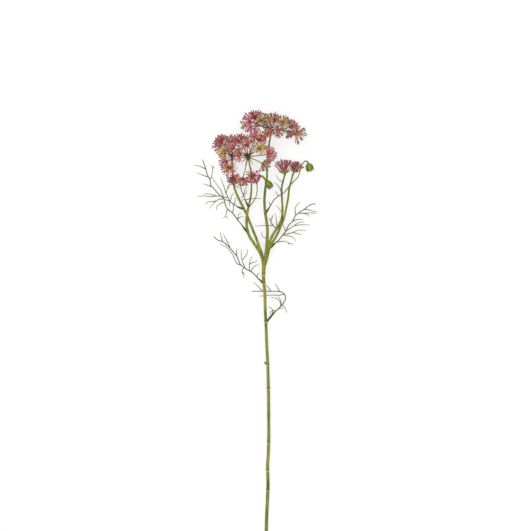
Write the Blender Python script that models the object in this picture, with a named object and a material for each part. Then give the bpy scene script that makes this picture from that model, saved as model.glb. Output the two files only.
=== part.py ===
"""A cut stem of Queen Anne's lace, lying on a table and seen from above.

X runs to the right, Y along the stem from its cut end to its flowers, Z up from the table.
Routes and places are in millimetres, measured from a point on the table under the cut end.
"""

import math
import random

import bmesh
import bpy
import numpy as np
from mathutils import Matrix, Vector

MM = 0.001
PART_NAME = "queen_annes_lace"

# The middle of the part's box on the table, which becomes the origin
MIDDLE_X = -14.25
MIDDLE_Y = 326.43

# Clearances between neighbouring pieces
SEAT_GAP = 0.3
ROD_GAP = 0.35

# Stem
STEM_SPACING = 17.0
BRANCH_SPACING = 12.0
RAY_RADIUS = 0.7
RAY_SPACING = 10.0
RAY_BOW = 0.08
HUB_RADIUS = 1.9
HUB_SIDES = 8
HUB_RINGS = 5
HUB_BRACT_RADII = (0.8, 0.7, 0.5)
HUB_BRACT_RISE = 1.2
KNOT_HALF_LENGTH = 3.2
KNOT_STEPS = (-1.0, 0.0, 1.0)
KNOT_CLEAR_SHARE = 1.6
KNOT_SWELL_SHARE = 0.5

# Flower bursts: slender rods drawn out of the facets of a small core
ROUND_CORE = (2.2, 2.2, 2.2)
CUP_CORE = (4.0, 3.0, 4.4)
CUP_GATHER = 0.8
CORE_DIVISIONS = 2
ROD_TIP_RADIUS = 0.72
ROD_ATTEMPTS = 12
ROD_WOBBLE = 0.05
ROD_WOBBLE_STEP = 0.008
ROD_LENGTHS = (0.84, 1.08)
ROD_SHORTENING = 0.04
SHORTEST_ROD = 0.45
FLOOR_CORE_HEIGHT = 1.7
ROD_LOWEST = 0.65

# Leaves: fine strands on a rib, with a thicker sheath at the root
LEAF_SPACING = 8.0
STRAND_ROOT_RADIUS = 0.62
STRAND_TIP_RADIUS = 0.46
RIB_EXTRA_RADIUS = 0.25
SHEATH_RADIUS = 1.6

# Buds. Each bract is given as shares of the bud: along its axis, out from it, and of the radius.
BUD_SIDES = 9
BUD_RINGS = 6
BUD_BRACTS = 5
BRACT_RADIUS = 0.75
BRACT_TURN = 0.3
BRACT_SHARES = [(-0.9, 0.35, 1.0), (-0.4, 0.92, 1.0), (0.3, 1.05, 0.9), (1.15, 0.95, 0.55)]

# Checking and cutting
CHECK_SPACING = 0.6
CLEARANCE_REACH = 12.0
TABLE_BLOCK = (400, 900, 40)
TABLE_BLOCK_MIDDLE = (0, 325, -20)
SMOOTH_ANGLE = 50.0

# Colours: base colour, roughness
COLOURS = {
    "stem_green": ((0.22, 0.27, 0.03), 0.5),
    "leaf_green": ((0.10, 0.12, 0.05), 0.6),
    "bud_green": ((0.26, 0.36, 0.05), 0.5),
    "floret_pink": ((0.62, 0.15, 0.19), 0.6),
    "floret_salmon": ((0.60, 0.20, 0.16), 0.6),
    "floret_crimson": ((0.42, 0.06, 0.10), 0.6),
    "floret_tan": ((0.48, 0.27, 0.10), 0.6),
}

# Main stem, as x, y, z and radius from the cut end to the crown where the branches part
MAIN_STEM = [
    (1.5, 0, 2.6, 2.6),
    (2.6, 42, 3.8, 2.5),
    (4.5, 94, 5.9, 2.4),
    (3.9, 112, 6.8, 2.4),
    (5.3, 140, 8.2, 2.35),
    (5.6, 188, 10.6, 2.3),
    (5.0, 237, 12.9, 2.3),
    (4.1, 270, 14.4, 2.25),
    (2.4, 306, 15.9, 2.2),
    (1.4, 332, 17.0, 2.2),
    (0.4, 350, 17.7, 2.2),
    (0.0, 368, 18.4, 2.2),
    (-0.4, 382, 18.9, 2.25),
    (-1.8, 393, 19.4, 2.35),
    (-2.2, 400, 19.7, 2.5),
    (-1.9, 413, 20.2, 2.8),
    (-1.3, 425, 20.6, 3.1),
]

# Knots on the main stem, as distance along Y and how far each stands out
KNOTS = [(80, 0.35), (110, 0.2), (152, 0.35), (234, 0.55), (270, 0.4), (335, 0.4), (393, 0.3), (406, 0.3)]

# Side branches, each starting inside the stem it grows from
BRANCHES = {
    "centre": [
        (-1.6, 418, 20.4, 2.4),
        (0.4, 430, 21.0, 2.35),
        (2.2, 445, 22.0, 2.3),
        (3.2, 458, 22.8, 2.25),
        (3.8, 472, 23.6, 2.2),
        (1.9, 488, 24.6, 2.1),
        (-0.3, 504, 25.8, 2.0),
        (-0.7, 520, 27.2, 1.9),
        (0.8, 536, 28.7, 1.8),
        (2.8, 550, 30.2, 1.65),
        (3.2, 570, 32.2, 1.5),
        (5.2, 595, 34.8, 1.4),
        (7.5, 608, 36.0, 1.3),
        (10.5, 621, 37.0, 1.2),
    ],
    "left_front": [
        (-2.4, 420, 20.4, 2.1),
        (-4.4, 431, 21.2, 2.1),
        (-9.0, 441, 22.0, 2.1),
        (-17.0, 453, 23.0, 2.1),
        (-23.8, 464, 23.9, 2.05),
        (-26.9, 475, 24.7, 2.05),
        (-27.6, 487, 25.7, 2.05),
        (-26.4, 498, 27.2, 1.9),
        (-24.4, 508, 29.2, 1.6),
        (-22.0, 518, 31.4, 1.4),
        (-20.2, 535, 35.4, 1.3),
        (-20.8, 556, 40.4, 1.25),
        (-23.0, 570, 43.4, 1.2),
        (-25.5, 580.5, 46.0, 1.2),
    ],
    "left_back": [
        (-2.6, 422, 20.4, 2.1),
        (-4.4, 435, 20.6, 2.1),
        (-9.2, 449, 20.8, 2.05),
        (-13.2, 460, 20.9, 2.0),
        (-18.0, 472, 20.9, 1.85),
        (-23.2, 485, 20.9, 1.85),
        (-27.6, 496, 20.8, 1.85),
        (-33.0, 507, 20.4, 1.85),
        (-39.6, 520, 19.8, 1.75),
        (-45.0, 533, 19.0, 1.6),
        (-47.6, 546, 18.0, 1.5),
        (-48.4, 562, 17.0, 1.35),
        (-49.0, 583, 16.0, 1.3),
    ],
    "right_inner": [
        (0.8, 437, 21.3, 2.0),
        (4.7, 448, 21.6, 2.0),
        (8.0, 457.5, 21.5, 2.0),
        (12.0, 465.5, 21.2, 2.0),
        (16.6, 473, 20.7, 1.95),
        (21.2, 480.5, 20.1, 1.85),
        (24.4, 488, 19.2, 1.7),
        (26.2, 499, 17.8, 1.6),
        (26.0, 512, 15.8, 1.5),
        (25.2, 525, 13.6, 1.4),
        (25.4, 538, 11.5, 1.35),
        (28.0, 549, 9.9, 1.25),
        (30.0, 556.5, 9.0, 1.2),
    ],
    "right_outer": [
        (-1.2, 419, 20.5, 2.3),
        (2.0, 427.5, 20.9, 2.3),
        (3.8, 435, 21.1, 2.25),
        (5.6, 442.5, 21.2, 2.2),
        (9.0, 450, 21.3, 2.1),
        (13.8, 458, 21.2, 1.95),
        (18.8, 467, 20.7, 1.85),
        (24.0, 479, 19.7, 1.75),
        (28.2, 490, 18.4, 1.65),
        (31.8, 505, 16.2, 1.55),
        (35.0, 522, 13.4, 1.5),
        (36.4, 535, 11.4, 1.4),
        (39.8, 548, 9.8, 1.3),
        (42.0, 556.5, 9.0, 1.2),
    ],
    "bud_middle_stalk": [
        (-25.0, 505, 28.4, 0.9),
        (-21.6, 509, 29.6, 0.85),
        (-17.0, 515, 31.0, 0.8),
        (-13.0, 523, 32.8, 0.75),
        (-11.6, 533, 35.0, 0.7),
        (-11.6, 543, 37.2, 0.8),
        (-9.0, 550.5, 39.0, 1.05),
        (-4.6, 552.0, 40.0, 1.3),
        (-0.2, 547.4, 39.6, 1.45),
        (1.03, 545.82, 39.4, 1.4),
    ],
    "bud_right_stalk": [
        (37.4, 540, 11.0, 0.9),
        (44.6, 547.0, 13.0, 0.8),
        (50.4, 554.0, 17.0, 0.75),
        (53.0, 563.0, 20.5, 0.8),
        (56.4, 572.0, 21.5, 0.95),
        (60.6, 576.0, 19.0, 1.1),
        (64.1, 575.0, 15.2, 1.2),
        (64.77, 573.23, 14.54, 1.2),
    ],
}

# Fine bracts and curled tendrils on the stem, too small to be leaves of their own
TENDRILS = [
    [(-47.2, 541, 18.4, 0.6), (-42.0, 537, 20.0, 0.5), (-36.4, 535, 21.0, 0.42)],
    [(-46.6, 541, 18.4, 0.6), (-53.0, 540, 20.0, 0.5), (-55.2, 533, 20.5, 0.42)],
    [(-47.0, 543, 18.2, 0.6), (-54.0, 549, 17.0, 0.5), (-60.0, 557, 16.0, 0.42)],
    [(2.6, 460, 22.9, 0.6), (-3.6, 462.5, 24.0, 0.5), (-5.4, 470, 24.6, 0.42)],
    [(25.8, 497, 18.0, 0.6), (21.8, 504, 18.5, 0.5), (16.2, 510, 19.0, 0.42)],
    [(26.0, 545, 10.4, 0.6), (20.6, 549, 11.0, 0.5), (16.6, 556, 11.0, 0.42)],
    [(3.9, 268, 14.2, 1.0), (1.2, 272.4, 14.6, 0.6)],
]

# Ends of the short bracts that stand round each umbel's hub
HUB_BRACTS = {
    "top": [
        (1.5, 622, 40), (19.5, 624.5, 39.5), (3.5, 613.5, 36.5), (17.5, 613, 36), (8, 630, 40),
        (15, 629, 38),
    ],
    "mid": [
        (-15.5, 589.5, 50), (-12.5, 581.5, 47), (-13.5, 574.5, 45), (-17.5, 569, 44), (-29, 567.5, 43),
        (-35, 571, 44), (-38, 577.5, 46), (-33.5, 588, 50), (-27, 592, 48), (-20.5, 591.5, 46),
    ],
    "left": [(-57.5, 580.5, 19), (-41, 586.5, 18.5), (-42.5, 577, 17.5), (-52, 573, 17), (-45.5, 592, 18)],
}

# Umbels: the hub on its branch, then each burst as its core, the way it faces, its reach,
# its half opening in degrees, its colour and, for a half-open one, its wide flat core
UMBELS = {
    "top": {
        "hub": (10.5, 621, 37),
        "bursts": [
            ((-21, 632, 36), (-1.0, 0.1, 0.1), 17, 95, "floret_pink"),
            ((-4, 634, 44), (-0.2, 0.3, 1.0), 13, 95, "floret_tan"),
            ((13, 635, 29), (0.1, 1.0, -0.1), 14, 90, "floret_pink"),
            ((26, 630, 45), (0.1, 0.2, 1.0), 13, 95, "floret_tan"),
            ((38, 625, 34), (0.8, 0.5, 0.3), 14, 90, "floret_pink"),
            ((45, 618.5, 29), (1.0, -0.3, 0.1), 19, 78, "floret_tan"),
            ((6, 612, 47), (-0.7, 0.6, 0.6), 12, 85, "floret_salmon"),
            ((-14, 640, 24), (-0.5, 0.8, -0.3), 13, 85, "floret_crimson"),
            ((-11, 626.5, 47), (-0.5, -0.1, 1.0), 11, 90, "floret_pink"),
            ((20, 619.5, 48), (0.3, -0.3, 1.0), 12, 90, "floret_salmon"),
            ((6, 632, 51), (-0.1, 0.2, 1.0), 10, 90, "floret_tan"),
            ((34.5, 620, 23), (0.4, -0.7, 0.2), 11, 64, "floret_pink"),
        ],
    },
    "mid": {
        "hub": (-25.5, 580.5, 44),
        "bursts": [
            ((-10, 604, 50), (0.5, 0.8, 0.2), 14, 90, "floret_pink"),
            ((-8, 591, 61), (0.2, 0.2, 1.0), 12, 95, "floret_tan"),
            ((4, 583, 50), (0.9, 0.1, 0.3), 14, 90, "floret_pink"),
            ((-3, 570, 47), (0.9, -0.5, 0.2), 13, 85, "floret_tan"),
            ((-18, 552, 55), (0.2, -0.8, 0.6), 14, 95, "floret_crimson"),
            ((-33, 548, 44), (-0.5, -0.9, 0.2), 13, 90, "floret_salmon"),
            ((-37, 583, 51), (-0.8, 0.1, 0.6), 12, 95, "floret_pink"),
            ((-26, 596, 60), (0.0, 0.4, 0.9), 14, 95, "floret_salmon"),
            ((-35, 602, 44), (-0.3, 1.0, 0.1), 14, 85, "floret_crimson"),
            ((-14.5, 608.5, 40), (0.1, 1.0, -0.2), 12, 78, "floret_pink"),
            ((-46, 594, 38), (-0.9, 0.5, 0.1), 12, 85, "floret_pink"),
        ],
    },
    "left": {
        "hub": (-49, 583, 16),
        "bursts": [
            ((-67, 600, FLOOR_CORE_HEIGHT), (-0.8, 0.6, 0.4), 14, 95, "floret_pink"),
            ((-61, 589, 18), (-0.3, 0.1, 1.0), 12, 95, "floret_tan"),
            ((-52, 605, FLOOR_CORE_HEIGHT), (0.1, 1.0, 0.4), 14, 85, "floret_tan"),
            ((-49, 601, 21), (-0.1, 0.6, 0.8), 13, 95, "floret_salmon"),
            ((-53, 566, 23), (-0.4, -0.2, 0.9), 14, 95, "floret_salmon"),
            ((-48, 551, 23), (0.1, -0.6, 0.8), 11, 90, "floret_crimson"),
            ((-58, 576, FLOOR_CORE_HEIGHT), (-1.0, -0.1, 0.4), 13, 85, "floret_crimson"),
            ((-65, 605, 17), (-0.7, 0.6, 0.4), 12, 90, "floret_crimson"),
        ],
    },
    "right_inner": {
        "hub": (30, 556.5, 9),
        "bursts": [((29.0, 560.8, 4.0), (-0.05, 1.0, 0.2), 20.5, 76, "floret_pink", CUP_CORE)],
    },
    "right_outer": {
        "hub": (42, 556.5, 9),
        "bursts": [((44.6, 562.5, 4.0), (0.3, 1.0, 0.2), 15, 86, "floret_pink", CUP_CORE)],
    },
}

# Bud bodies: centre, half width, half length, the way the tip points
BUDS = {
    "bud_right": ((66.8, 567.4, 12.5), 5.2, 6.2, (0.35, -1.0, -0.35)),
    "bud_middle": ((5.4, 540.0, 38.8), 4.6, 7.0, (0.75, -1.0, -0.1)),
}

# Leaves: the height at the root and how it changes along X and Y, then the rib and its strands.
# A point with a third number keeps that height.
LEAVES = {
    "leaf_upper_left": {
        "heights": (24.3, 0.16, -0.07),
        "sheath": 12.0,
        "rib": [
            (-26.5, 469), (-30.5, 474), (-34.5, 479.5), (-41.3, 488), (-48.8, 498), (-57.3, 505.3),
            (-60, 512), (-62.4, 521), (-67, 524.2), (-78, 536), (-81, 539), (-83.3, 549.3),
            (-87, 556), (-89.5, 565), (-94.5, 580),
        ],
        "strands": [
            [(-89.5, 565), (-98, 569), (-108, 571.5)],
            [(-85, 552.5), (-94.5, 555.8), (-104, 560.3)],
            [(-83.3, 549), (-80.4, 553), (-80, 559), (-79, 566), (-81.5, 571)],
            [(-79, 565), (-76.5, 570.5)],
            [(-62.8, 521), (-65.4, 530.4), (-72.5, 541), (-79.8, 552)],
            [(-80.7, 538), (-89.6, 541.5), (-94, 543)],
            [(-67, 524), (-72.5, 523.7), (-79, 526), (-88, 527.3), (-93.5, 526.5)],
            [(-73, 523.8), (-80, 523.2), (-89, 523.8), (-103, 523.8)],
            [(-62.5, 519), (-69, 519), (-75.5, 514.3), (-84.5, 505)],
            [(-72.5, 516.5), (-80, 515.5), (-86, 515), (-91, 510.8)],
            [(-61, 515), (-66, 513), (-73, 506.5), (-72.6, 502)],
            [(-56, 504.6), (-58, 499), (-59.2, 493), (-64, 490)],
            [(-59.2, 493.4), (-55.3, 489.5)],
            [(-40.6, 487.6), (-39.8, 495), (-35.6, 498.6)],
            [(-42, 489.4), (-37.5, 491.4), (-31.6, 492.8)],
            [(-48.6, 497.6), (-47.6, 504.5)],
        ],
    },
    "leaf_lower_left": {
        "heights": (19.4, 0.12, -0.07),
        "sheath": 12.0,
        "rib": [
            (-1.0, 390), (-4.6, 394.5), (-10.5, 400), (-15.2, 405), (-21.3, 410.3), (-26, 412.5),
            (-32, 416.5), (-36.6, 420), (-39.6, 426), (-42.8, 433.5), (-48, 440), (-52.7, 445.5),
            (-57.3, 450), (-64, 455.3), (-71, 457.5), (-78, 463),
        ],
        "strands": [
            [(-22.8, 411.6), (-23.6, 422.4), (-19, 434)],
            [(-23.6, 421), (-18, 424), (-14.4, 424.2), (-11.4, 427.8)],
            [(-21, 410.2), (-17.6, 416), (-13.5, 419.7), (-8, 419.8)],
            [(-30, 415.2), (-34.8, 428.5), (-36, 444)],
            [(-34.6, 427), (-29, 434), (-26, 441), (-27.5, 444.5)],
            [(-42.4, 432.6), (-42.8, 440), (-42, 445.5)],
            [(-36, 419.6), (-41, 421.5), (-49.6, 437), (-57.3, 446), (-68.5, 452.4)],
            [(-52.4, 445.2), (-56.8, 455), (-61, 462.5), (-62.8, 468)],
            [(-64, 455.3), (-66, 462), (-68, 470)],
            [(-31.6, 416), (-34.4, 411.7), (-33, 405), (-30.5, 400.6)],
            [(-33.4, 409), (-29.4, 404.6)],
            [(-12, 401.4), (-11.2, 406), (-9, 409)],
        ],
    },
    "leaf_lower_right": {
        "heights": (16.8, 0.0, -0.16),
        "sheath": 14.0,
        "rib": [
            (2.2, 334), (6.0, 339), (10.5, 344.5), (16.5, 351), (24, 358), (28.5, 363.6), (30.8, 369),
            (30.6, 373), (28.4, 377), (25, 379.3), (21, 380), (6, 380.4), (-10, 380.4), (-20.5, 380.4),
        ],
        "strands": [
            [(9, 380.4), (5, 386), (1.4, 390)],
            [(-3.4, 380.4), (-9, 386), (-17.4, 394.5)],
            [(28.8, 376), (22, 374.4), (10.4, 374.7), (-2, 373.4), (-9.4, 373)],
            [(22, 380), (18.6, 386.4), (14.6, 392.4)],
            [(23.4, 357.6), (23.6, 362), (19.4, 368.4), (14.6, 370.4), (8, 370.8)],
            [(24.4, 358.6), (24, 366), (20, 373)],
            [(25.6, 360), (29.4, 356.4), (31.8, 351), (33, 347.6)],
            [(10.4, 344.4), (11.2, 352.5), (8.6, 356), (3.8, 356.4)],
            [(16.4, 351), (11.8, 351.4), (8.4, 349), (8.2, 345.8)],
            [(18.6, 353.2), (24, 354.6), (28, 354.4)],
        ],
    },
    "leaf_right": {
        "heights": (21.5, -0.2, -0.08),
        "sheath": 8.0,
        "rib": [
            (8.6, 446), (12.6, 450.4), (16.2, 453.4), (21.3, 458), (25.4, 463.5), (31, 470.6), (36, 480.3),
            (41.4, 485.6), (46.8, 495.6), (50.5, 498.3), (59, 504), (69.5, 511.5), (77, 513),
        ],
        "strands": [
            [(46.4, 495), (45.4, 504), (47, 509), (52.5, 515.4)],
            [(59, 504), (65, 503.6), (72, 501.4), (79.5, 500)],
            [(50.4, 498.2), (57, 498), (63.5, 496.4), (68, 493)],
            [(57, 498), (68, 498.6), (77.5, 498)],
            [(41.2, 485.4), (46.5, 488), (52.4, 489), (58.5, 488.6)],
            [(31, 470.6), (37.5, 474.8), (43.7, 479.3), (50, 483.4), (60, 485.4)],
            [(43.6, 479.2), (52.5, 480.4), (68, 480.6)],
            [(28.2, 466.4), (36, 467.2), (42.5, 469.5), (48, 472), (62.5, 471.8)],
            [(42, 469.2), (48, 467.3), (55.8, 465.6)],
            [(26.6, 465), (34.5, 463.8), (40.8, 462.4), (44.5, 459.4), (46, 454.8)],
            [(17, 454), (24, 455.3), (31.5, 455.3), (35, 452.8), (35.4, 449.8)],
            [(34.6, 453.4), (38.6, 452.2), (43, 450.8)],
            [(31, 470.4), (28.9, 475.5), (27.4, 481)],
        ],
    },
    "leaf_centre": {
        "heights": (26.0, -0.02, -0.03),
        "sheath": 12.0,
        "rib": [
            (-0.2, 495.5), (3.6, 501.5), (8.0, 508.6), (13.5, 517.4), (20.4, 523.4), (25.4, 526),
            (31, 531), (36, 538.5),
        ],
        "strands": [
            [(24.4, 525.6), (23.2, 533), (18.6, 539.6), (13.2, 545)],
            [(20.2, 523.3), (17.4, 527), (15.6, 531)],
            [(7.6, 508), (7.4, 512), (5, 515.4)],
        ],
    },
    "leaf_mid_left": {
        "heights": (30.0, -0.35, 0.12),
        "sheath": 10.0,
        "rib": [(-24.6, 507), (-26.8, 511), (-29.2, 516.8), (-31.8, 523.5), (-35.3, 532), (-36, 538)],
        "strands": [
            [(-29.0, 516.6), (-24, 518.2, 36.0), (-16, 518.8, 38.0), (-4.5, 519, 38.5)],
            [(-29.4, 517.2), (-35.5, 516.6)],
            [(-32.2, 524.5), (-30.3, 529), (-29.8, 533), (-26.6, 536.5)],
            [(-31.9, 523.8), (-28.2, 526.6), (-27.8, 531.6)],
            [(-31.6, 523), (-36, 519.5)],
        ],
    },
    "leaf_inner_left": {
        "heights": (21.6, -0.06, 0.0),
        "sheath": 8.0,
        "rib": [
            (-32.4, 504), (-36.8, 505.4), (-42.8, 508), (-47.4, 511.4), (-53, 516), (-55.4, 521.5),
            (-58.5, 527),
        ],
        "strands": [
            [(-58.3, 526.6), (-57.2, 532), (-53.2, 543)],
            [(-58.3, 526.4), (-60.4, 534), (-66.6, 551)],
            [(-52.8, 515.8), (-51.2, 518), (-50.6, 522.5), (-46.6, 528.5)],
            [(-45.6, 509.6), (-44.8, 516.5), (-43.6, 522)],
            [(-53, 516.2), (-53, 507.4)],
            [(-53.2, 516), (-57, 517.2), (-61.5, 518), (-66.5, 521.5)],
            [(-55.8, 521.8), (-60.6, 521), (-63.6, 524.6), (-64.4, 529)],
            [(-47.2, 511.2), (-47.4, 505.6), (-47.0, 500.4)],
        ],
    },
    "leaf_inner_right": {
        "heights": (20.8, 0.12, 0.0),
        "sheath": 4.0,
        "rib": [(18.6, 473.2), (15.6, 476), (12, 479.6), (9.6, 483), (8.6, 486), (10.4, 490), (11.2, 495)],
        "strands": [
            [(12, 479.5), (7, 479.3, 18.6), (0, 479.3, 18.2), (-15.4, 478.2, 17.8)],
            [(8.7, 485.6), (6.4, 489.6), (4.9, 491.4)],
            [(18.0, 474), (17.6, 482), (16.6, 490.5), (14.6, 498.5)],
        ],
    },
}


def clear_scene():
    for item in list(bpy.data.objects):
        bpy.data.objects.remove(item, do_unlink=True)


def make_materials():
    materials = {}
    for name, (colour, roughness) in COLOURS.items():
        material = bpy.data.materials.new(name)
        material.use_nodes = True
        shader = material.node_tree.nodes["Principled BSDF"]
        shader.inputs["Base Color"].default_value = (*colour, 1.0)
        shader.inputs["Roughness"].default_value = roughness
        shader.inputs["Metallic"].default_value = 0.0
        material.diffuse_color = (*colour, 1.0)
        materials[name] = material
    return materials


def smooth_route(points, spacing):
    """Points about the spacing apart on a smooth curve through the given ones, radius included."""
    given = np.array(points, dtype=float)
    lengths = np.linalg.norm(np.diff(given[:, :3], axis=0), axis=1)
    slopes = np.diff(given, axis=0) / lengths[:, None]
    tangents = np.vstack([slopes[:1], slopes])
    for i in range(1, len(given) - 1):
        share = lengths[i] / (lengths[i - 1] + lengths[i])
        tangents[i] = share * slopes[i - 1] + (1 - share) * slopes[i]
    route = [given[0]]
    for i, length in enumerate(lengths):
        steps = max(1, round(length / spacing))
        for step in range(1, steps + 1):
            t = step / steps
            start = (2 * t**3 - 3 * t**2 + 1) * given[i] + (3 * t**2 - 2 * t**3) * given[i + 1]
            bend = (t**3 - 2 * t**2 + t) * tangents[i] + (t**3 - t**2) * tangents[i + 1]
            route.append(start + bend * length)
    return np.array(route)


def knotted_route():
    """The main stem's route with a few closer points at each knot, where it swells."""
    fine = smooth_route(MAIN_STEM, 1.0)
    along = fine[:, 1]
    wanted = set(np.arange(0, along[-1], STEM_SPACING))
    for place, _ in KNOTS:
        near = {y for y in wanted if abs(y - place) < KNOT_CLEAR_SHARE * KNOT_HALF_LENGTH}
        wanted -= near
        wanted |= {place + step * KNOT_HALF_LENGTH for step in KNOT_STEPS}
    wanted = sorted(wanted) + [along[-1]]
    route = np.array([[np.interp(y, along, fine[:, k]) for k in range(4)] for y in wanted])
    for place, height in KNOTS:
        distance = (route[:, 1] - place) / (KNOT_SWELL_SHARE * KNOT_HALF_LENGTH)
        route[:, 3] += height * np.exp(-(distance**2))
    return route


class Space:
    """Remembers where each node's tubes run, so that later ones stay clear of them."""

    def __init__(self):
        self.starts = np.zeros((0, 4))
        self.ends = np.zeros((0, 4))
        self.owners = []

    def add(self, owner, route):
        route = np.array(route, dtype=float)
        if len(route) == 1:
            route = np.vstack([route, route])
        self.starts = np.vstack([self.starts, route[:-1]])
        self.ends = np.vstack([self.ends, route[1:]])
        self.owners += [owner] * (len(route) - 1)

    def clearance(self, owner, route):
        """The least gap between this route and every other node's tubes."""
        others = np.array([name != owner for name in self.owners])
        if not others.any():
            return math.inf
        starts = self.starts[others]
        ends = self.ends[others]
        spans = ends - starts
        squares = np.maximum((spans[:, :3] ** 2).sum(axis=1), 1e-9)
        least = math.inf
        for point in smooth_route(route, CHECK_SPACING):
            share = ((point[:3] - starts[:, :3]) * spans[:, :3]).sum(axis=1) / squares
            nearest = starts + np.clip(share, 0, 1)[:, None] * spans
            gaps = np.linalg.norm(nearest[:, :3] - point[:3], axis=1) - nearest[:, 3] - point[3]
            least = min(least, gaps.min())
        return least


def link_to(item, collection):
    for current in list(item.users_collection):
        current.objects.unlink(item)
    collection.objects.link(item)


def rod_profile(guides):
    """A triangle with corners 1 mm from its middle, swept along the fine rods and strands."""
    curve = bpy.data.curves.new("rod_profile", "CURVE")
    curve.dimensions = "2D"
    spline = curve.splines.new("POLY")
    spline.points.add(2)
    spline.use_cyclic_u = True
    for corner, point in enumerate(spline.points):
        turn = math.tau * corner / 3
        point.co = (MM * math.cos(turn), MM * math.sin(turn), 0, 1)
    profile = bpy.data.objects.new("rod_profile", curve)
    guides.objects.link(profile)
    return profile


def curve_object(name, route, resolution, profile=None):
    """One tube along a route; a point's radius is in millimetres."""
    curve = bpy.data.curves.new(name, "CURVE")
    curve.dimensions = "3D"
    curve.use_fill_caps = True
    curve.bevel_depth = MM
    curve.bevel_resolution = resolution
    if profile:
        curve.bevel_mode = "OBJECT"
        curve.bevel_object = profile
    spline = curve.splines.new("POLY")
    spline.points.add(len(route) - 1)
    for point, (x, y, z, radius) in zip(spline.points, route):
        point.co = (x * MM, y * MM, z * MM, 1)
        point.radius = radius
    item = bpy.data.objects.new(name, curve)
    bpy.context.scene.collection.objects.link(item)
    return item


def as_meshes(curves):
    """The curves made into closed meshes, with their caps welded on."""
    depsgraph = bpy.context.evaluated_depsgraph_get()
    solids = []
    for item in curves:
        mesh = bpy.data.meshes.new_from_object(item.evaluated_get(depsgraph))
        shape = bmesh.new()
        shape.from_mesh(mesh)
        bmesh.ops.remove_doubles(shape, verts=shape.verts, dist=1e-6)
        bmesh.ops.recalc_face_normals(shape, faces=shape.faces)
        shape.to_mesh(mesh)
        shape.free()
        solid = bpy.data.objects.new(item.name + "_solid", mesh)
        solid.matrix_world = item.matrix_world.copy()
        bpy.context.scene.collection.objects.link(solid)
        solids.append(solid)
    for item in curves:
        bpy.data.objects.remove(item, do_unlink=True)
    return solids


def ball(name, centre, radius, sides, rings, stretch=1.0, axis=(0, 0, 1)):
    """A faceted ball, longer along its axis by the stretch."""
    shape = bmesh.new()
    bmesh.ops.create_uvsphere(shape, u_segments=sides, v_segments=rings, radius=radius * MM)
    turn = Vector((0, 0, 1)).rotation_difference(Vector(axis).normalized()).to_matrix()
    for vertex in shape.verts:
        vertex.co.z *= stretch
        vertex.co = turn @ vertex.co + Vector(centre) * MM
    mesh = bpy.data.meshes.new(name)
    shape.to_mesh(mesh)
    shape.free()
    item = bpy.data.objects.new(name, mesh)
    bpy.context.scene.collection.objects.link(item)
    return item


def table_block():
    """What lies under the table's surface, taken off the pieces that press on it."""
    shape = bmesh.new()
    bmesh.ops.create_cube(shape, size=1.0)
    bmesh.ops.scale(shape, vec=Vector(TABLE_BLOCK) * MM, verts=shape.verts)
    bmesh.ops.translate(shape, vec=Vector(TABLE_BLOCK_MIDDLE) * MM, verts=shape.verts)
    mesh = bpy.data.meshes.new("table_block")
    shape.to_mesh(mesh)
    shape.free()
    item = bpy.data.objects.new("table_block", mesh)
    bpy.context.scene.collection.objects.link(item)
    return item


def apply_boolean(body, operation, others):
    """Joins or takes away the other objects, which are then removed."""
    helpers = bpy.data.collections.new(body.name + "_" + operation.lower())
    bpy.context.scene.collection.children.link(helpers)
    for item in others:
        link_to(item, helpers)
    step = body.modifiers.new(operation.lower(), "BOOLEAN")
    step.operation = operation
    step.operand_type = "COLLECTION"
    step.collection = helpers
    step.solver = "MANIFOLD"
    depsgraph = bpy.context.evaluated_depsgraph_get()
    mesh = bpy.data.meshes.new_from_object(body.evaluated_get(depsgraph))
    body.modifiers.clear()
    body.data = mesh
    for item in others:
        bpy.data.objects.remove(item, do_unlink=True)
    bpy.data.collections.remove(helpers)


def keep_largest_piece(mesh):
    """Drops the loose scraps that a cut leaves behind."""
    shape = bmesh.new()
    shape.from_mesh(mesh)
    unseen = set(shape.verts)
    pieces = []
    while unseen:
        piece = set()
        edge_of_search = [unseen.pop()]
        while edge_of_search:
            vertex = edge_of_search.pop()
            piece.add(vertex)
            for edge in vertex.link_edges:
                other = edge.other_vert(vertex)
                if other in unseen:
                    unseen.remove(other)
                    edge_of_search.append(other)
        pieces.append(piece)
    pieces.sort(key=len)
    for piece in pieces[:-1]:
        bmesh.ops.delete(shape, geom=list(piece), context="VERTS")
    shape.to_mesh(mesh)
    shape.free()


def finish_node(name, pieces, material, collection, cutters=()):
    """Fuses a node's pieces into one solid, cuts it clear and puts it in the part."""
    body = pieces[0]
    if len(pieces) > 1:
        apply_boolean(body, "UNION", pieces[1:])
    if cutters:
        apply_boolean(body, "DIFFERENCE", cutters)
    keep_largest_piece(body.data)
    body.name = name
    body.data.name = name
    body.data.materials.clear()
    body.data.materials.append(material)
    body.data.shade_smooth()
    body.data.set_sharp_from_angle(angle=math.radians(SMOOTH_ANGLE))
    link_to(body, collection)
    return body


def unit(vector):
    vector = np.array(vector, dtype=float)
    return vector / np.linalg.norm(vector)


def burst_core(burst):
    """The half sizes of a burst's core."""
    return np.array(burst[5] if len(burst) > 5 else ROUND_CORE)


def core_route(burst):
    """A core as the space it takes up: a ball, or a short row of balls for a wide one."""
    core = np.array(burst[0], dtype=float)
    half_sizes = burst_core(burst)
    thick = half_sizes[2]
    half_row = half_sizes[0] - thick
    return [(core[0] - half_row, *core[1:], thick), (core[0] + half_row, *core[1:], thick)]


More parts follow.
